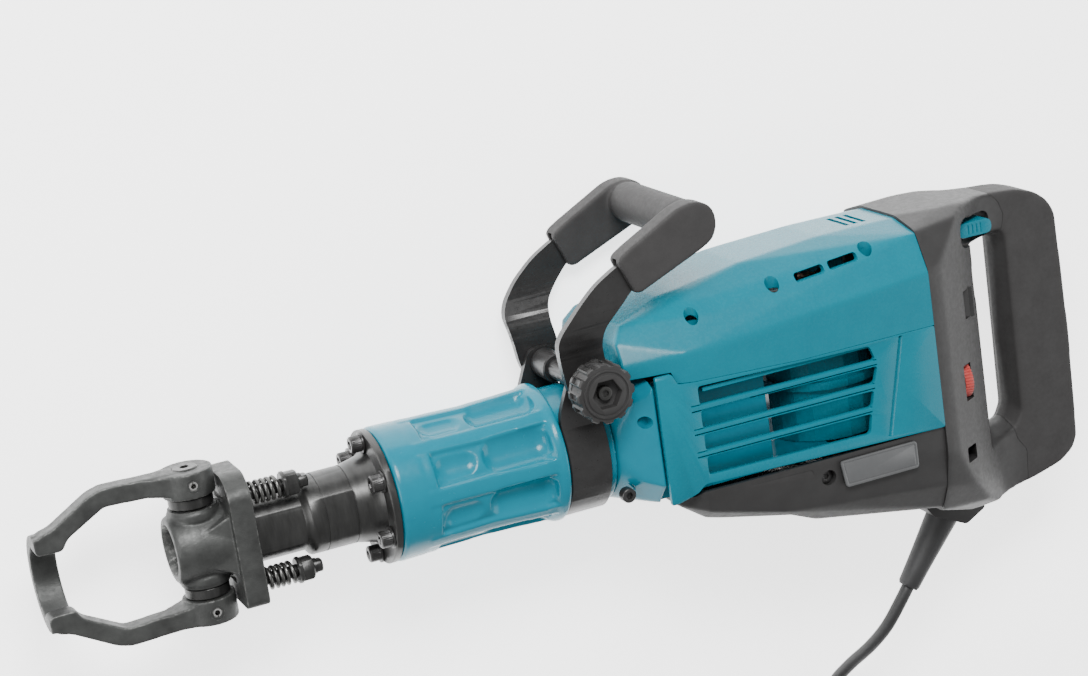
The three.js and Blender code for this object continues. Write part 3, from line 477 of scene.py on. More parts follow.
def as_mesh(curve):
    """The same wire as a mesh."""
    graph = bpy.context.evaluated_depsgraph_get()
    made = _object("work", bpy.data.meshes.new_from_object(curve.evaluated_get(graph)))
    name = curve.name
    bpy.data.objects.remove(curve)
    made.name = name
    for poly in made.data.polygons:
        poly.use_smooth = True
    return made


def turned_along(profile, start, direction, sides=48):
    """A lathe about any line: (along, radius) pairs from a start point."""
    made = lathe(profile, sides)
    turn = Vector((1, 0, 0)).rotation_difference(direction).to_matrix().to_4x4()
    made.obj.data.transform(Matrix.Translation(start) @ turn)
    return made


def cord_guard():
    profile = [(-6, 0), (-6, 12.4), (0, 12.8), (4, 12.6), (20, 11.4), (36, 10.2), (50, 9.3), (64, 8.6),
               (66.5, 7.4), (66.5, 0)]
    made = turned_along(profile, GUARD_TOP, GUARD_DIR)
    bore = turned_along([(50, 0), (50, 5.15), (70, 5.15), (70, 0)], GUARD_TOP, GUARD_DIR)
    made = made - bore
    return finish(made, "cord_guard_boot", "tool", CORD_RUBBER, ["cord_guard"], bevel=0.4, angle=50)


def plug_parts():
    z = COIL_Z - TAIL_R
    y = REST_Y - 18
    top = REST_Y - 0.3
    rings = [(0, 12, 6.6, 6.6), (10, 12, 7.4, 7.4), (14, 11, 9, 9), (22, 2, 15, 14), (30, 0, 16.5, 16),
             (48, 0, 17.3, 16.8), (52, 0, 16.3, 15.8)]
    bm = bmesh.new()
    loops = []
    for back, drop, dy, dz in rings:
        loop = []
        for i in range(40):
            t = i / 40 * 2 * math.pi
            c, s = math.cos(t), math.sin(t)
            bulge = (abs(c) ** 4 + abs(s) ** 4) ** -0.25 if back > 12 else 1.0
            bulge = min(bulge, 1.12)
            yy = min(y + drop + dy * s * bulge, top)
            loop.append(bm.verts.new((PLUG_X - back, yy, z + dz * c * bulge * 0.98)))
        loops.append(loop)
    for a, b in zip(loops, loops[1:]):
        for i in range(40):
            j = (i + 1) % 40
            bm.faces.new((a[i], a[j], b[j], b[i]))
    bm.faces.new(loops[0])
    bm.faces.new(loops[-1])
    body = Solid(_mesh(bm))
    for i in range(5):
        x = PLUG_X - 26 - i * 3.4
        for side in (1, -1):
            body = body - box((x, x + 1.5), (y - 9, y + 9), sorted((z + side * 15.2, z + side * 20)))
    body = finish(body, "plug_body", "tool", BLACK_PLASTIC, ["plug"], bevel=0.5)
    face = PLUG_X - 51.5
    metal = rod("X", (y - 11, z), 2.4, face - 20, face, 24)
    for offset in (6.35, -6.35):
        blade = prism("Z", rounded([(face, y - 3.2), (face - 17.5, y - 3.2), (face - 17.5, y + 3.2),
                                    (face, y + 3.2)], 1.6), z + offset - 0.75, z + offset + 0.75)
        blade = blade - rod("Z", (face - 13.5, y), 1.3, z + offset - 3, z + offset + 3, 20)
        metal = metal + blade
    pins = finish(metal, "plug_pins", "tool", STEEL, (), bevel=0.3)
    return [body, pins]


def cord_tie():
    z = COIL_Z + 65
    low, high = REST_Y - 24.3, REST_Y - 3

    def ring(grow, half):
        outline = [(low - grow, z - 26.3 - grow), (high + grow, z - 26.3 - grow),
                   (high + grow, z + 26.3 + grow), (low - grow, z + 26.3 + grow)]
        return prism("X", rounded(outline, 4 + grow, 8), COIL_X - half, COIL_X + half)

    strap = ring(2.5, 7) - ring(1.2, 9)
    buckle = box((COIL_X - 8.5, COIL_X + 8.5), (low - 4.2, low - 1.4), (z - 8, z + 8))
    return finish(strap + buckle, "cord_strap", "tool", RUBBER, ["cord_tie"], bevel=0.4)


def make_cord():
    path = smooth_path(cord_points(), 7)
    guard = cord_guard()
    strap = cord_tie()
    plug = plug_parts()
    cord = wire("supply_cord", path, CORD_R, CORD_RUBBER, 4)
    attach(cord, "tool")
    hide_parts("cord_lead", "cord_coil", "cord_tail")
    tuple(row(*path[0]))
    path_length(path) * S


make_cord()


# ---------------------------------------------------------------- nose
HINGE_X = -298.5  # the bail's trunnions
PIN_Z = 47  # the roll pins through them
STUD_Y = -19  # the detent studs
STUD_Z = 32
PLATE_REAR_X = -261.7


def flange_spots():
    return [(-41.6 * math.sin(i * math.pi / 3), 41.6 * math.cos(i * math.pi / 3)) for i in range(6)]


def tool_sleeve():
    made = lathe([(-261.7, 0), (-261.7, 24), (-226, 24), (-224.6, 25.2), (-222.6, 27.9), (-221, 28.7),
                  (-187, 28.7), (-184.4, 29.4), (-178, 30.8), (-172.5, 32.2), (-169, 35), (-169, 48.7),
                  (-168.2, 49.5), (-164.1, 49.5), (-163.3, 48.7), (-163.3, 37), (-110, 37), (-110, 0)])
    made = made - prism("X", hexagon(0, 0, 28.9), -263, -164)
    made = made - rod("X", (0, 0), 19.2, -164.5, -105)
    made = made - [rod("X", spot, 4.6, -175, -160, 24) for spot in flange_spots()]
    for x in (-212, -190):
        made = made - (rod("X", (0, 0), 32, x, x + 1.4, 96) - rod("X", (0, 0), 28.2, x - 1, x + 3, 96))
    return finish(made, "tool_sleeve_body", "tool", MACHINED, ["tool_sleeve"], bevel=0.5,
                  segments=3)


def retainer_housing():
    body = lathe([(-319.4, 0), (-319.4, 22.4), (-318.6, 23.6), (-316.4, 24.6), (-306, 26), (-262, 26),
                  (-262, 0)])
    plate = prism("X", rounded([(-30, -48), (24, -48), (24, 48), (-16, 48), (-30, 36)], 6, 8), -279, -262)
    web = hull([(-300, y, z) for y in (-22, 20) for z in (-12, 12)]
               + [(-278, y, z) for y in (-26, 22) for z in (-22, 22)])
    boss = rod("Z", (HINGE_X, 0), 17.5, -29, 29, 72)
    rings = [rod("Z", (HINGE_X, 0), 18.6, *span(s, 21, 26), 72) for s in (1, -1)]
    made = body + [plate, web, boss, *rings]
    made = mould(made, 0.85, 5)
    made = made - lathe([(-322, 0), (-322, 20), (-319.4, 19), (-316, 17.2), (-259, 17.2), (-259, 0)], 72)
    made = made - rod("Z", (HINGE_X, 0), 9.4, -40, 40)
    for side in (1, -1):
        made = made - rod("X", (STUD_Y, side * STUD_Z), 5.1, -276.5, -259)
        made = made - (rod("Z", (HINGE_X, 0), 22, *span(side, 28.4, 33), 48))
    return finish(made, "retainer_casting", "tool", FORGED, ["retainer_housing"])


def trunnions():
    for label, side in (("upper", 1), ("lower", -1)):
        profile = [(18, 0), (18, 9), (29.3, 9), (29.3, 15.2), (30.1, 16), (36.4, 16), (37.2, 15.2),
                   (37.2, 9), (56.2, 9), (57, 8.2), (57, 0)]
        stub = lathe([(side * along, radius) for along, radius in profile], 72, "Z", (HINGE_X, 0))
        dimple = rod("Z", (HINGE_X, 0), 3.2, *span(side, 54.5, 59), 32)
        made = stub - [rod("Y", (HINGE_X, side * PIN_Z), 3.3, -20, 20, 32), dimple]
        finish(made, f"trunnion_pin_{label}", "bail", MACHINED, [f"trunnion_{label}"], bevel=0.3)
        pin = rod("Y", (HINGE_X, side * PIN_Z), 3.05, -18.3, 18.3, 40)
        pin = pin - [rod("Y", (HINGE_X, side * PIN_Z), 1.9, -20, 20, 32),
                     box((-298.9, -298.1), (-20, 20), span(side, 47, 53))]
        finish(pin, f"roll_pin_{label}", "bail", STEEL, [f"bail_pin_{label}"], bevel=0.2)


def retainer_bail():
    parts = []
    edge = [(-294.5, 56), (-312.6, 56.5), (-359, 58.3), (-369.3, 55.4), (-399, 38), (-408, 36), (-412.4, 30),
            (-412.4, 22.5), (-393.4, 21.5), (-389, 29), (-360, 45), (-316, 42.5), (-294.5, 40)]
    for side in (1, -1):
        low, high = span(side, 37.5, 56)
        flat = rounded([(x, side * z) for x, z in edge], 3.5, 6)
        parts.append(prism("Y", flat, -7.6, 7.6))
        parts.append(hull([(HINGE_X, y, side * z) for y in (-17, 17) for z in (37.8, 55.8)]
                          + [(-332, y, side * z) for y in (-7.6, 7.6) for z in (44, 56)]))
        parts.append(rod("Z", (HINGE_X, 0), 19, low, high, 96))
    turns = [math.pi / 2 - i * math.pi / 32 for i in range(33)]
    inner = [(27 * math.cos(t), 27 * math.sin(t)) for t in turns]
    outer = [(35.5 * math.cos(t), 35.5 * math.sin(t)) for t in reversed(turns)]
    parts.append(prism("X", inner + outer, -412.4, -393.6))
    for side in (1, -1):
        parts.append(box((-412.4, -393.6), (-7.6, 1), span(side, 26, 34.6)))
    made = parts[0] + parts[1:]
    made = mould(made, 0.9, 9)
    for side in (1, -1):
        made = made - [rod("Z", (HINGE_X, 0), 9.3, *span(side, 33, 62), 48),
                       rod("Y", (HINGE_X, side * PIN_Z), 3.3, -24, 24, 32)]
        made = made - [rod("Y", (HINGE_X, side * PIN_Z), 5, *span(f, 18.2, 24), 40) for f in (1, -1)]
    return finish(made, "bail_forging", "bail", FORGED, ["retainer_bail"])


def sprung_coil(name, replaces, foot, length, turns, radius, thick):
    """A closed-ended coil standing on foot along X."""
    way = 1 if length > 0 else -1
    long = abs(length)
    path = []
    for i in range(int(turns * 28) + 1):
        t = i / (turns * 28)
        flat = min(t * turns, (1 - t) * turns, 0.9) / 0.9
        lift = thick + 0.35 + t * (long - 2 * thick - 0.7)
        pull = (1 - flat) * 1.1 * (-1 if t < 0.5 else 1)
        path.append(Vector((foot[0] + way * min(max(lift + pull, thick), long - thick),
                            foot[1] + radius * math.cos(t * turns * 2 * math.pi),
                            foot[2] + radius * math.sin(t * turns * 2 * math.pi))))
    coil = as_mesh(wire(name, path, thick, SPRING_STEEL, 3))
    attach(coil, "tool")
    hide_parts(replaces)
    tuple(row(*foot))
    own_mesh(coil)


def detents():
    for label, side in (("upper", 1), ("lower", -1)):
        z = side * STUD_Z
        body = f"detent_{label}"
        bolt = lathe([(-272, 0), (-272, 4.2), (-271.4, 4.6), (-225.5, 4.6), (-225.5, 5.6), (-220, 5.6),
                      (-219, 4.8), (-219, 0)], 48, "X", (STUD_Y, z))
        for i in range(7):
            x = -236 + i * 1.4
            bolt = bolt - (rod("X", (STUD_Y, z), 6, x, x + 0.7) - rod("X", (STUD_Y, z), 4.15, x - 1, x + 2))
        bolt = bolt - [box((-223, -217), (-28, -10), sorted((z + w * 4, z + w * 8))) for w in (1, -1)]
        finish(bolt, f"detent_stud_{label}", body, MACHINED, [f"detent_bolt_{label}"], bevel=0.2)
        nut = lathe([(-237.7, 0), (-237.7, 8.8), (-236.8, 9.7), (-235, 9.7), (-234.4, 8.9), (-227, 8.9),
                     (-225.8, 7.8), (-225.8, 0)], 64, "X", (STUD_Y, z))
        nut = nut & (prism("X", hexagon(STUD_Y, z, 16.6), -234.6, -224)
                     + rod("X", (STUD_Y, z), 10, -239, -234.4))
        nut = nut - rod("X", (STUD_Y, z), 4.9, -240, -224)
        finish(nut, f"detent_collar_{label}", body, MACHINED, [f"detent_nut_{label}"], bevel=0.3)
        sprung_coil(f"detent_coil_{label}", f"detent_spring_{label}",
                    (PLATE_REAR_X, STUD_Y, z), 23.7, 5.0, 7.3, 1.5)


def absorber_springs():
    for end, foot, length in (("front", 35.3, 26.4), ("rear", 123.2, -26.9)):
        sprung_coil(f"absorber_coil_{end}", f"absorber_spring_{end}",
                    (foot, 0, 75), length, 4.0, 8.4, 1.2)


tool_sleeve()
retainer_housing()
trunnions()
retainer_bail()
detents()
absorber_springs()


# ---------------------------------------------------------------- barrel
def polar(angle, radius):
    t = math.radians(angle)
    return (-radius * math.sin(t), radius * math.cos(t))


def barrel_section(rib, valley):
    points = []
    for i in range(8):
        for offset in (-6, -4.5, 4.5, 6):
            points.append(polar(i * 45 - 3 + offset, rib))
        for offset in (9, 14, 19, 24, 29, 34, 36):
            points.append(polar(i * 45 - 3 + offset, valley))
    return points


def wedge(x0, x1, a0, a1, r0, r1, steps=10):
    """A block between two angles round the barrel, measured from the top towards the near side."""
    turns = [a0 + (a1 - a0) * i / steps for i in range(steps + 1)]
    return prism("X", [polar(t, r0) for t in turns] + [polar(t, r1) for t in reversed(turns)], x0, x1)


def barrel():
    core = lathe([(-163, 38), (-163, 47.4), (-162, 49), (-160, 50), (-142, 49.6), (-138, 48.6), (-134, 46.6),
                  (-95, 45.6), (-46, 46.6), (-42, 50.4), (-40, 51.4), (-38.6, 51.9), (-35, 51.9), (-34, 50.9),
                  (-34, 46), (4.7, 46), (4.7, 33), (-90, 33), (-90, 38)], 144)
    ribs = prism("X", barrel_section(50.4, 45), -141, -39) & lathe(
        [(-141, 40), (-141, 49.9), (-92, 48.6), (-39, 50.7), (-39, 40)], 144)
    made = core + ribs
    for i in range(8):
        mid = i * 45 + 19.5
        made = made + wedge(-142, -133, mid - 15, mid + 15, 40, 49.3)
        for x0, x1, reach, radius in ((-133, -97, 60, 17), (-96, -43, 58, 17.5)):
            scoop = [(x0, 0), (x0 + 0.6, radius - 5), (x0 + 3, radius - 2), (x0 + 8, radius),
                     (x1 - 8, radius), (x1 - 3, radius - 2), (x1 - 0.6, radius - 5), (x1, 0)]
            made = made - lathe(scoop, 64, "X", polar(mid, reach))
    made = mould(made, 1.15, 4)
    made = made - [rod("X", spot, 3.8, -166, -146, 24) for spot in flange_spots()]
    return finish(made, "barrel_casting", "tool", TEAL_PAINT, ["barrel"])


def flange_bolts():
    for i, spot in enumerate(flange_spots(), 1):
        made = lathe([(-178.6, 0), (-178.6, 5.3), (-177.8, 6.2), (-170.7, 6.2), (-170.7, 8), (-169.3, 8),
                      (-169.3, 3.4), (-148, 3.4), (-148, 0)], 48, "X", spot)
        made = made - prism("X", hexagon(*spot, 6), -180, -174)
        for k in range(24):
            t = k / 24 * 2 * math.pi
            place = (spot[0] + 6.45 * math.cos(t), spot[1] + 6.45 * math.sin(t))
            made = made - rod("X", place, 0.42, -177.4, -171, 6)
        finish(made, f"flange_screw_{i}", "tool", OXIDE, [f"flange_bolt_{i}"], bevel=0.15)


barrel()
flange_bolts()


# ---------------------------------------------------------------- side handle, points as (X, Z)
PIVOT = (-9, 55)
BAR = (80, 157.5)


def clamp_band():
    x0, x1 = -33, -1
    ring = lathe([(x0, 46.3), (x0, 49.3), (x0 + 0.6, 49.9), (x1 - 0.6, 49.9), (x1, 49.3), (x1, 46.3)], 144)
    ring = ring - box((x0 - 1, x1 + 1), (-37.9, 37.9), (20, 90))
    face = rounded([(x0, 22), (x1, 22), (x1, 34), (5, 55), (1, 67), (-19, 67), (-25, 55), (x0, 36)], 7, 8)
    ears = []
    for side in (1, -1):
        leaf = [(side * 38, 26), (side * 43, 24), (side * 43, 72), (side * 38, 72)]
        ears.append(prism("X", leaf, x0, x1 + 20) & prism("Y", face, -50, 50))
    made = ring + ears
    made = made - [rod("X", (0, 0), 46.3, x0 - 5, x1 + 25, 144), rod("Y", PIVOT, 5.4, -60, 60)]
    return finish(made, "band_strap", "handle_clamp", OXIDE, ["clamp_band"], bevel=0.6, segments=3)


def handle_frame():
    face = rounded([(-26, 55), (-28.5, 74), (-31, 92), (-27, 101), (-15, 115.5), (1, 129.5), (20, 140),
                    (40, 146), (44, 134), (28.5, 121), (13.5, 105.5), (5.5, 96), (3.5, 84), (8, 55), (3, 43),
                    (-9, 38), (-21, 43)], 8, 8)
    made = rod("Y", BAR, 7, -60, 60)
    for side in (1, -1):
        strip = rounded([(side * 43.3, 30), (side * 49, 30), (side * 49, 76), (side * 63, 108),
                         (side * 63, 160), (side * 57, 160), (side * 57, 110), (side * 43.3, 80)], 10, 8)
        arm = prism("X", strip, -60, 60) & prism("Y", face, -70, 70)
        neck = hull([(34, side * y, z) for y in (57, 63) for z in (127, 144)]
                    + [(80, side * y, z) for y in (57, 63) for z in (151.5, 163.5)])
        made = made + [arm, neck]
    made = made - rod("Y", PIVOT, 5.4, -60, 60)
    return finish(made, "handle_straps", "side_handle", OXIDE, ["side_handle_frame"], bevel=0.9,
                  segments=3)


def handle_rubber():
    edge = rounded([(17.5, 144.5), (25, 149.5), (70, 172.5), (84, 174), (95.5, 168), (98.5, 156), (94, 144),
                    (84, 138.5), (32, 117.5), (28, 118.5)], 9, 8)
    made = rod("Y", BAR, 14.5, -56, 56, 72)
    made = made + [prism("Y", edge, *span(side, 51, 69)) for side in (1, -1)]
    made = made + rod("Y", BAR, 15.2, -46, 46, 72)
    made = mould(made, 1.1, 14)
    for side in (1, -1):
        strap = ((10, 110), (10, 141.6), (46, 130), (46, 150), (81, 150.5), (81, 164.5))
        made = made - hull([(x, side * y, z) for y in (56.7, 63.3) for x, z in strap])
    made = made - rod("Y", BAR, 7.3, -60.3, 60.3)
    return finish(made, "handle_cover", "side_handle", RUBBER, ["side_handle_grip"])


def clamp_hardware():
    spacer = rod("Y", PIVOT, 8, -37.6, 37.6) + lathe(
        [(12, 0), (12, 10.2), (13, 11.2), (36.6, 11.2), (37.6, 10.2), (37.6, 0)], 64, "Y", PIVOT)
    spacer = spacer - [rod("Y", PIVOT, 5.3, -50, 50), rod("X", (0, 0), 47, -40, 20, 96)]
    finish(spacer, "clamp_tube", "handle_clamp", OXIDE, ["clamp_spacer"], bevel=0.4)
    bolt = rod("Y", PIVOT, 5, -77, 52) + (prism("Y", hexagon(*PIVOT, 17), 49.3, 57) & lathe(
        [(49, 0), (49, 9.9), (56, 9.9), (57, 8.6), (57, 0)], 64, "Y", PIVOT))
    bolt = bolt - rod("Y", PIVOT, 2.6, -79, -74.5, 32)
    finish(bolt, "clamp_stud", "handle_clamp", MACHINED, ["clamp_bolt"], bevel=0.3)


def clamp_knob():
    count = 12
    lobe = ((-0.3, 21.6), (-0.22, 22.3), (0.1, 22.3), (0.18, 21.6), (0.24, 19.9), (0.6, 19.9))
    outline = []
    for i in range(count):
        for offset, radius in lobe:
            t = (i + offset) / count * 2 * math.pi
            outline.append((PIVOT[0] + radius * math.cos(t), PIVOT[1] + radius * math.sin(t)))
    made = prism("Y", outline, -79, -60)
    made = made & lathe([(-79.1, 0), (-79.1, 21), (-77.6, 22.4), (-61.5, 22.4), (-60, 21), (-60, 0)],
                        96, "Y", PIVOT)
    made = made + [rod("Y", PIVOT, 20.4, -62.5, -58.4, 72), rod("Y", PIVOT, 17.6, -80.5, -58, 72),
                   rod("Y", PIVOT, 12, -60, -49.3, 64)]
    for i in range(count):
        t = (i - 0.1) / count * 2 * math.pi
        c, s = math.cos(t), math.sin(t)
        corners = []
        for along, across in ((20.2, -2.1), (20.2, 2.1), (26, 2.1), (26, -2.1)):
            corners.append((PIVOT[0] + along * c - across * s, PIVOT[1] + along * s + across * c))
        made = made - prism("Y", corners, -75.4, -64.5)
    made = made - [prism("Y", hexagon(*PIVOT, 20), -82, -73), rod("Y", PIVOT, 5.3, -90, -40),
                   lathe([(-81, 14.6), (-81, 16.4), (-79.7, 16.4), (-79.7, 14.6)], 72, "Y", PIVOT)]
    return finish(made, "knob_body", "knob", BLACK_PLASTIC, ["clamp_knob"], bevel=0.45,
                  segments=2)


clamp_band()
handle_frame()
handle_rubber()
clamp_hardware()
clamp_knob()


# ---------------------------------------------------------------- housings
CASE_SCREW = (8, -33)  # points as (X, Z)
BELLY_SCREW = (162, -56)
COVER_SCREW_Y = 52


def crank_housing():
    ring = [(4.8, 44.5 * math.cos(i * math.pi / 24), 44.5 * math.sin(i * math.pi / 24)) for i in range(48)]
    end = 32.7
    shoulders = hull(ring + both([(20, 56, 38), (20, 57, -24), (20, 40, -42), (20, 40, 50), (end, 66.5, 46.5),
                                  (end, 66.5, -28.5), (end, 50, -45.5), (end, 50, 54)]))
    made = mould(shoulders, 1.1, 16)
    made = made & box((4.7, end), (-80, 80), (-60, 80))
    made = made + [box((28, 128), (-46, 46), (-44, 44)), box((120, 176), (-46, 46), (-44, -37))]
    made = made - box((36, 123), (-41, 41), (-36, 50))
    made = made + [box((29, 35), (-10, 10), (40, 83)), box((123.5, 128), (-10, 10), (40, 83))]
    made = made - [rod("X", (0, 0), 32.3, 0, 60, 96), rod("Y", CASE_SCREW, 8, -70, -44, 64),
                   rod("X", (0, 75), 5.3, 25, 132)]
    made = made - [rod("Y", (24.5, 21), 4.6, *span(side, 54, 70), 40) for side in (1, -1)]
    made = made - [rod("Z", (x, 0), r, -50, -30) for x, r in ((92, 9.3), (149, 6.3), (196, 25))]
    return finish(made, "crank_case", "tool", TEAL_PAINT, ["crank_housing"])


def case_bolt():
    made = lathe([(-51.5, 0), (-51.5, 4.8), (-50.8, 5.5), (-45, 5.5), (-44.3, 5.5), (-44.3, 0)],
                 48, "Y", CASE_SCREW)
    made = made - prism("Y", hexagon(*CASE_SCREW, 5), -53, -47.5)
    return finish(made, "case_screw", "tool", OXIDE, ["crank_case_bolt"], bevel=0.15)


def upper_hull(inset):
    def y(v):
        return v - inset

    low = 30 if inset else 34
    end = 268
    return hull(both([
        (14 + inset, y(56), low), (14 + inset, y(58), y(64)), (14 + inset, y(50), y(80)),
        (22 + inset, y(42), y(91)), (60, y(28), y(101)), (60, y(69), low), (60, y(68), y(66)),
        (88, y(69), y(64)), (88, y(55), y(87)), (128, y(30), y(112)), (196, y(26), y(116)),
        (259, y(69), y(80)), (259, y(55), y(108)), (end, y(24), y(115.5)), (end, y(69), low),
        (end, y(69), y(80)), (end, y(55), y(108))]))


def upper_shell():
    skin = mould(upper_hull(0), 1.2, 14)
    edge = [(10, 54.3), (47.5, 54.3), (51, 45.4), (63, 44.2), (151, 39.6), (261.7, 39.4), (261.7, 125),
            (10, 125)]
    skin = skin & prism("Y", edge, -80, 80)
    skin = skin - upper_hull(3.0)
    for x, z in ((75, 84.7), (141.9, 100.1), (220.6, 106.3)):
        for side in (1, -1):
            spot = (x, side * COVER_SCREW_Y)
            skin = skin - rod("Z", spot, 5.2, z - 16, z + 12, 40)
            well = rod("Z", spot, 7, z - 24, z - 2, 40)
            well = well - rod("Z", spot, 5.2, z - 26, z, 40)
            skin = skin + (well & upper_hull(0.6))
            head = rod("Z", spot, 4.9, z - 15, z - 8, 32)
            head = head - prism("Z", hexagon(*spot, 4), z - 11, z)
            finish(head, f"shell_screw_{int(x)}_{side_name(side)}", "tool", OXIDE, (),
                   bevel=0.15)
    cuts = [box((x, x + 3.5), (-16, 16), (106, 125)) for x in (226, 233, 240)]
    cuts += [box((8, 24), span(side, a, a + 9), (59, 62.5)) for side in (1, -1) for a in (34, 46)]
    for side in (1, -1):
        for x0, x1, z in ((160, 184, 93.5), (188, 212, 96.5)):
            slot = rounded([(x0, z), (x1, z + 2.4), (x1, z + 8.4), (x0, z + 6)], 2.4, 4)
            cuts.append(prism("Y", slot, *span(side, 40, 66)))
    skin = skin - cuts
    return finish(skin, "upper_cover", "tool", TEAL_PLASTIC, ["upper_shell"])


def side_shell(label, side):
    edge = rounded([(33.3, 53.7), (46.6, 53.7), (50.2, 45.1), (63, 43.9), (151, 39.3), (261.7, 39.1),
                    (261.7, -40.4), (153.6, -37), (61.6, -33.5), (55, -38.5), (38.9, -43.5), (33.3, -43.5)],
                   2.0, 4)
    made = prism("Y", edge, *span(side, 65, 69))
    rows = [((65, 40), (206, 36.5), (210, 25), (65, 26)), ((65, 21.5), (211, 20), (207, 7.5), (65, 8)),
            ((65, 3.5), (206, 2), (203, -10), (65, -9)), ((65, -13.5), (202, -15), (199, -30), (65, -27.5))]
    bars = [((60, 26.6), (213.8, 25.3), (214.4, 20.6), (60, 21.3)),
            ((60, 8.8), (210, 7.8), (209, 3.0), (60, 3.9)),
            ((60, -8.6), (205.6, -9.6), (204.6, -14.2), (60, -13.2))]
    for bar in bars:
        (x0, z0), (x1, z1), (_, z2), (_, z3) = bar
        for z_in, z_out, drop in ((z0, z1, 1.5), (z3, z2, -1.5)):
            made = made - hull([point for x, z in ((x0 - 2, z_in), (x1 - 3, z_out))
                                for point in ((x, side * 66.4, z), (x, side * 70, z),
                                              (x, side * 70, z - drop))])
    made = made - [prism("Y", rounded(points, 3, 5), -80, 80) for points in rows]
    made = made + [box((x0, x1), span(side, 59, 66), (z0, z1))
                   for x0, x1, z0, z1 in ((70, 250, 34.5, 37.5), (110, 250, -35.5, -32.5))]
    groove = hull([(x, side * y, z) for y, half in ((69.6, 2.2), (66.9, 0.4))
                   for x, z in ((233 - half, 38), (233 + half, 38), (215 - half, -36), (215 + half, -36))])
    made = made - groove
    made = made & hull([(x, side * y, z) for x in (33.3, 261.7) for y, z in
                        ((60, 54), (67.6, 54), (69, 51), (69, -40), (67.4, -43.6), (60, -43.6))]
                       + [(33.3, side * 68, z) for z in (50, -40)])
    return finish(made, f"side_cover_{label}", "tool", TEAL_PLASTIC, [f"side_shell_{label}"],
                  bevel=0.35, segments=2)


def belly_hull(inset):
    def y(v):
        return v - inset

    def z(v):
        return v + inset

    high = -20 if inset else -30
    end = 268
    return hull(both([
        (44 + inset, y(56), high), (44 + inset, y(52), z(-50)), (62, y(67), high),
        (66, y(50), z(-66)), (66, y(62), z(-58)), (126, y(62.5), z(-74)), (156, y(50), z(-91.4)),
        (156, y(63), z(-77)), (end, y(67), high), (end, y(66), z(-60)), (end, y(62), z(-88.5)),
        (end, y(50), z(-111.5))]))


def belly_cover():
    skin = mould(belly_hull(0), 1.2, 16)
    edge = [(30, -44.2), (56, -44.2), (62, -41), (261.7, -41), (261.7, -120), (156, -91.4), (131, -79),
            (66, -66.4), (43, -49)]
    skin = skin & prism("Y", edge, -80, 80)
    skin = skin - (belly_hull(3.0) & prism("Y", [(47, -10), (300, -10), (300, -115), (156, -87), (131, -74.6),
                                                 (66, -62), (47, -46)], -80, 80))
    for side in (1, -1):
        skin = skin - rod("Y", BELLY_SCREW, 6, *span(side, 60, 72), 48)
        cup = rod("Y", BELLY_SCREW, 7.6, *span(side, 56, 63), 48)
        skin = skin + (cup - rod("Y", BELLY_SCREW, 6, *span(side, 57.5, 72), 48))
        finish(rod("Y", BELLY_SCREW, 5, *span(side, 57.6, 60.6), 40)
               - prism("Y", hexagon(*BELLY_SCREW, 4), *span(side, 58.6, 62)),
               f"belly_screw_{side_name(side)}", "tool", OXIDE, (), bevel=0.15)
        skin = skin - prism("Y", rounded([(96, -45), (150, -46), (150, -66), (120, -63), (96, -56)], 4, 5),
                            *span(side, 65.6, 72))
    recess = rounded([(170, -44), (237.2, -44), (237.2, -67), (173, -67)], 3.4, 5)
    skin = skin - prism("Y", recess, -75, -67.2)
    return finish(skin, "belly_body", "tool", BLACK_PLASTIC, ["belly_cover"])


def label_plate():
    made = prism("Y", rounded([(171, -45), (236, -45), (236, -66), (174, -66)], 3, 6), -69, -67.4)
    outer = rounded([(173, -46.6), (234.4, -46.6), (234.4, -64.4), (175.4, -64.4)], 2, 6)
    inner = rounded([(174, -47.6), (233.4, -47.6), (233.4, -63.4), (176.4, -63.4)], 1.6, 6)
    made = made - (prism("Y", outer, -69.4, -68.7) - prism("Y", inner, -70, -68))
    return finish(made, "label_face", "tool", LABEL, ["label_plate"], bevel=0.25)


REAR_EDGE = [(262, 117.4), (308, 117), (361, 113.5), (374, 112.2), (390, 106.6), (400, 98.6), (406, 87.6),
             (407.5, 36.8), (408.6, -12), (406.5, -94.8), (402, -105), (390, -113.7), (365, -120.3),
             (331, -125.8), (300, -129), (262, -113)]
D_OPENING = [(320.6, 63.3), (323, 69.7), (332.3, 74.5), (346, 78.7), (353, 78.7), (355.8, 71.7),
             (352.7, -4.7), (354.4, -59.2), (348.7, -69.9), (335.7, -73.7), (321.3, -70), (321.8, 10.7)]
GRIP_REGION = [(347, 125), (347, 115.7), (355.7, 107), (359.7, 95.6), (356.5, 83.7), (349, 76), (348, -69),
               (351.4, -84.8), (358.9, -95.3), (357.4, -118), (357, -130), (420, -130), (420, 125)]
REAR_FLANK = [(250, 69), (262, 68.7), (272, 67), (298, 50), (318, 34), (334, 22), (350, 18.4), (412, 18.4)]
REAR_TOP = REAR_FLANK + [(x, -y) for x, y in reversed(REAR_FLANK)]


def rear_limit(inset):
    """The room the rear end fills, rounded like the shells where it meets them."""
    section = [(24, 117.4), (55, 109.5), (69, 81), (69, -60), (62, -90), (50, -113)]
    points = [(x, y, z) for x in (250, 264) for y, z in section]
    points += [(300, 32, 118), (300, 48, 110), (300, 54, 92), (300, 54, -92), (300, 44, -112),
               (300, 24, -130), (412, 20, 118), (412, 20, -130)]
    return hull(both([(x, y - inset, z - math.copysign(inset, z)) for x, y, z in points]))


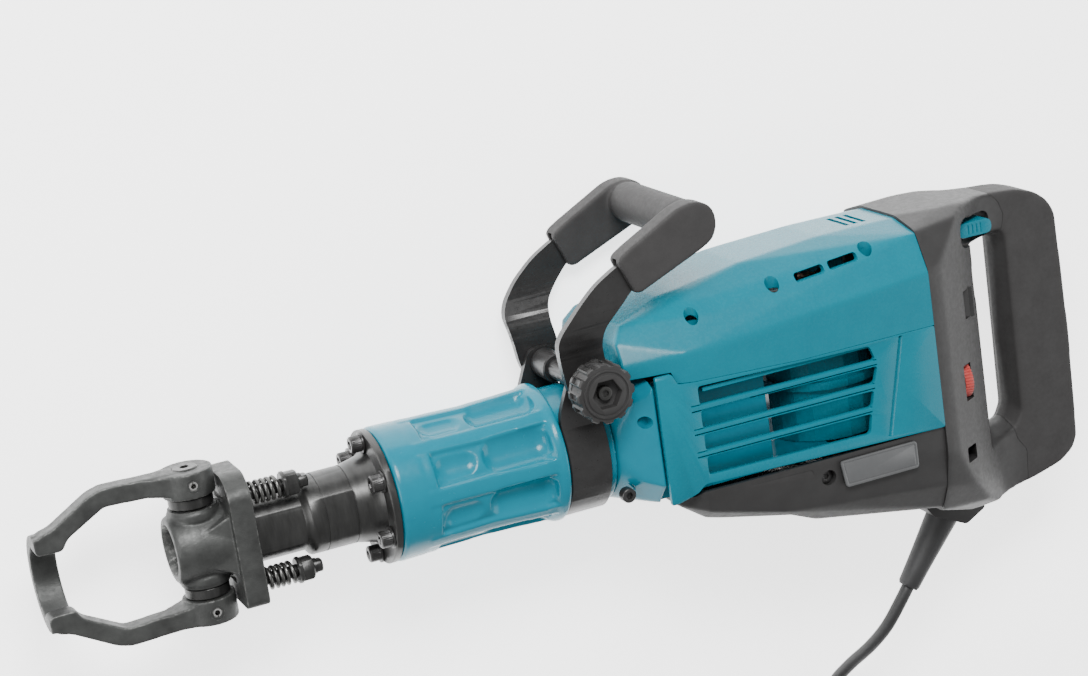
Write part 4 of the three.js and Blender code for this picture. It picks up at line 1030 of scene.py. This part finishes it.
def rear_blank():
    edge = [(250, 118), *REAR_EDGE[:-1], (262, -113), (250, -110)]
    made = prism("Y", rounded(edge, 5, 4), -80, 80) & prism("Z", rounded(REAR_TOP, 8, 6), -140, 130)
    made = made & rear_limit(0)
    made = made - prism("Y", rounded(D_OPENING, 5, 5), -80, 80)
    for side in (1, -1):
        flare = [(x, side * 5, z) for x, z in D_OPENING]
        for x, z in D_OPENING:
            out = Vector((x - 338, z)).normalized()
            reach = -9 if x < 338 else 8
            flare.append((x + reach, side * 31, z + out.y * 10))
        made = made - hull(flare)
    return mould(made, 1.3, 26)


def grip_core(c):
    bar = box((372 - c, 390 + c), (-9 - c, 9 + c), (-99 - c, 97 + c))
    return bar + [box((340, 389 + c), (-9 - c, 9 + c), (85 - c, 97 + c)),
                  box((340, 389 + c), (-9 - c, 9 + c), (-106 - c, -92 + c))]


def rear_housing(blank):
    hard = blank & box((262, 420), (-90, 90), (-150, 150))
    hard = hard - prism("Y", rounded(GRIP_REGION, 3, 4), -80, 80)
    hard = hard + grip_core(0)
    side_cut = prism("Y", [(257, 108), (300, 106), (308, 96), (310, 60), (310, -72), (306, -106), (298, -112),
                           (257, -102)], -80, 80)
    top_cut = prism("Z", [(257, 62), (266, 60), (295, 41), (314, 25), (314, -25), (295, -41), (266, -60),
                          (257, -62)], -140, 130)
    lever = rounded([(307, 81.4), (348, 81.4), (348, 104.6), (307, 104.6)], 10, 8)
    hard = hard - [side_cut & top_cut & rear_limit(6), box((301, 312), (-60, -41.5), (30, 52)),
                   box((290.5, 300.5), (-70, -36), (-31, -3)),
                   prism("Y", rounded([(309, 83), (346, 83), (346, 103), (309, 103)], 8, 8), -50, 50),
                   prism("Y", rounded([(284, -78), (296, -78), (296, -66), (284, -66)], 1.5, 4), -80, -30)]
    hard = hard - [prism("Y", lever, *span(side, 29.5, 50)) for side in (1, -1)]
    # a near-black sheet on the floor of the side recess: painted shade where the housing's own plastic lies
    # in shadow
    painted_shade_floor = box((300.5, 312.5), (-41.2, -40.2), (29.5, 52.5))
    finish(painted_shade_floor, "column_back_painted_shade", "tool", PAINTED_SHADE, ())
    return finish(hard, "rear_body", "tool", BLACK_PLASTIC, ["rear_housing"])


def handle_grip(blank):
    inner = [(x + 0.3 if x < 400 else x, z) for x, z in GRIP_REGION]
    made = blank & prism("Y", rounded(inner, 3, 4), -80, 80)
    made = made - grip_core(0.3)
    return finish(made, "grip_cover", "tool", RUBBER, ["handle_grip"])


def switch_lever():
    face = rounded([(313, 87.4), (342, 87.4), (342, 98.6), (313, 98.6)], 5.5, 10)
    made = prism("Y", face, -29.6, 29.6)
    for i in range(4):
        x = 321 + i * 3.6
        for side in (1, -1):
            made = made - box((x, x + 1.2), span(side, 29.0, 32), (89.4, 96.6))
    return finish(made, "lever_bar", "lever", TEAL_PLASTIC, ["switch_lever"], bevel=1.6,
                  segments=5)


DIAL = (-38, -17)  # the axle, as (Y, Z)


def speed_dial():
    outline = []
    for i in range(40):
        for offset, radius in ((0, 15.5), (0.5, 15.5), (0.6, 14.8), (0.9, 14.8)):
            t = (i + offset) / 40 * 2 * math.pi
            outline.append((DIAL[0] + radius * math.cos(t), DIAL[1] + radius * math.sin(t)))
    made = prism("X", outline, 292, 299) - rod("X", DIAL, 2.5, 280, 310)
    return finish(made, "dial_wheel", "dial", DIAL_RED, ["speed_dial"], bevel=0.2)


def cord_clamp():
    edge = rounded([(262, -114.2), (300, -129.6), (318, -128.4), (318.9, -134.3), (301, -143.8),
                    (272.8, -130)], 2.5, 5)
    made = prism("Y", edge, -14, 14)
    for side in (1, -1):
        made = made - rod("Z", (306, side * 8), 2.6, -150, -138, 32)
    return finish(made, "gland_block", "tool", BLACK_PLASTIC, ["cord_clamp"], bevel=0.9,
                  segments=3)


crank_housing()
case_bolt()
upper_shell()
side_shell("near", -1)
side_shell("far", 1)
belly_cover()
label_plate()
rear = rear_blank()
handle_grip(copy_of(rear))
rear_housing(rear)
switch_lever()
speed_dial()
cord_clamp()


# ---------------------------------------------------------------- CAD nodes that keep their shape
KEPT = {
    STEEL: ["idler_gear", "crankshaft", "connecting_rod", "piston", "hammer_cylinder", "striker",
            "impact_bolt", "absorber_weight"],
    COPPER: ["stator", "armature"],
    TEAL_PLASTIC: ["motor_housing"],
    BLACK_PLASTIC: ["switch_block", "cooling_fan"],
}


def dress_kept_nodes():
    for material, names in KEPT.items():
        for name in names:
            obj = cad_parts[name]
            obj.data.materials.clear()
            obj.data.materials.append(material)


dress_kept_nodes()


# ---------------------------------------------------------------- floor and light
def make_floor():
    bm = bmesh.new()
    bmesh.ops.create_grid(bm, x_segments=1, y_segments=1, size=6)
    floor = _object("floor", _mesh(bm))
    mat, _, _, bsdf = _bsdf("floor")
    bsdf.inputs["Base Color"].default_value = (0.88, 0.88, 0.88, 1)
    bsdf.inputs["Emission Color"].default_value = (1, 1, 1, 1)
    bsdf.inputs["Emission Strength"].default_value = 2.2
    bsdf.inputs["Roughness"].default_value = 0.75
    bsdf.inputs["Specular IOR Level"].default_value = 0.2
    floor.data.materials.append(mat)


def area(name, place, target, size, power):
    data = bpy.data.lights.new(name, "AREA")
    data.shape = "RECTANGLE"
    data.size, data.size_y = size
    data.energy = power
    lamp = bpy.data.objects.new(name, data)
    lamp.location = place
    lamp.rotation_euler = (Vector(target) - Vector(place)).to_track_quat("-Z", "Y").to_euler()
    bpy.context.scene.collection.objects.link(lamp)


def make_light():
    world = bpy.data.worlds.new("studio")
    bpy.context.scene.world = world
    world.use_nodes = True
    world.node_tree.nodes["Background"].inputs["Color"].default_value = (1, 1, 1, 1)
    world.node_tree.nodes["Background"].inputs["Strength"].default_value = 0.6
    area("key", (-0.3, 1.5, 1.6), (0, 0, 0.05), (1.2, 0.6), 78)
    area("fill", (1.6, -0.3, 1.1), (0.1, 0, 0.05), (1.2, 1.2), 12)
    area("rim", (-1.5, 0.2, 0.9), (-0.1, 0, 0.05), (0.8, 1.0), 14)


make_floor()
make_light()
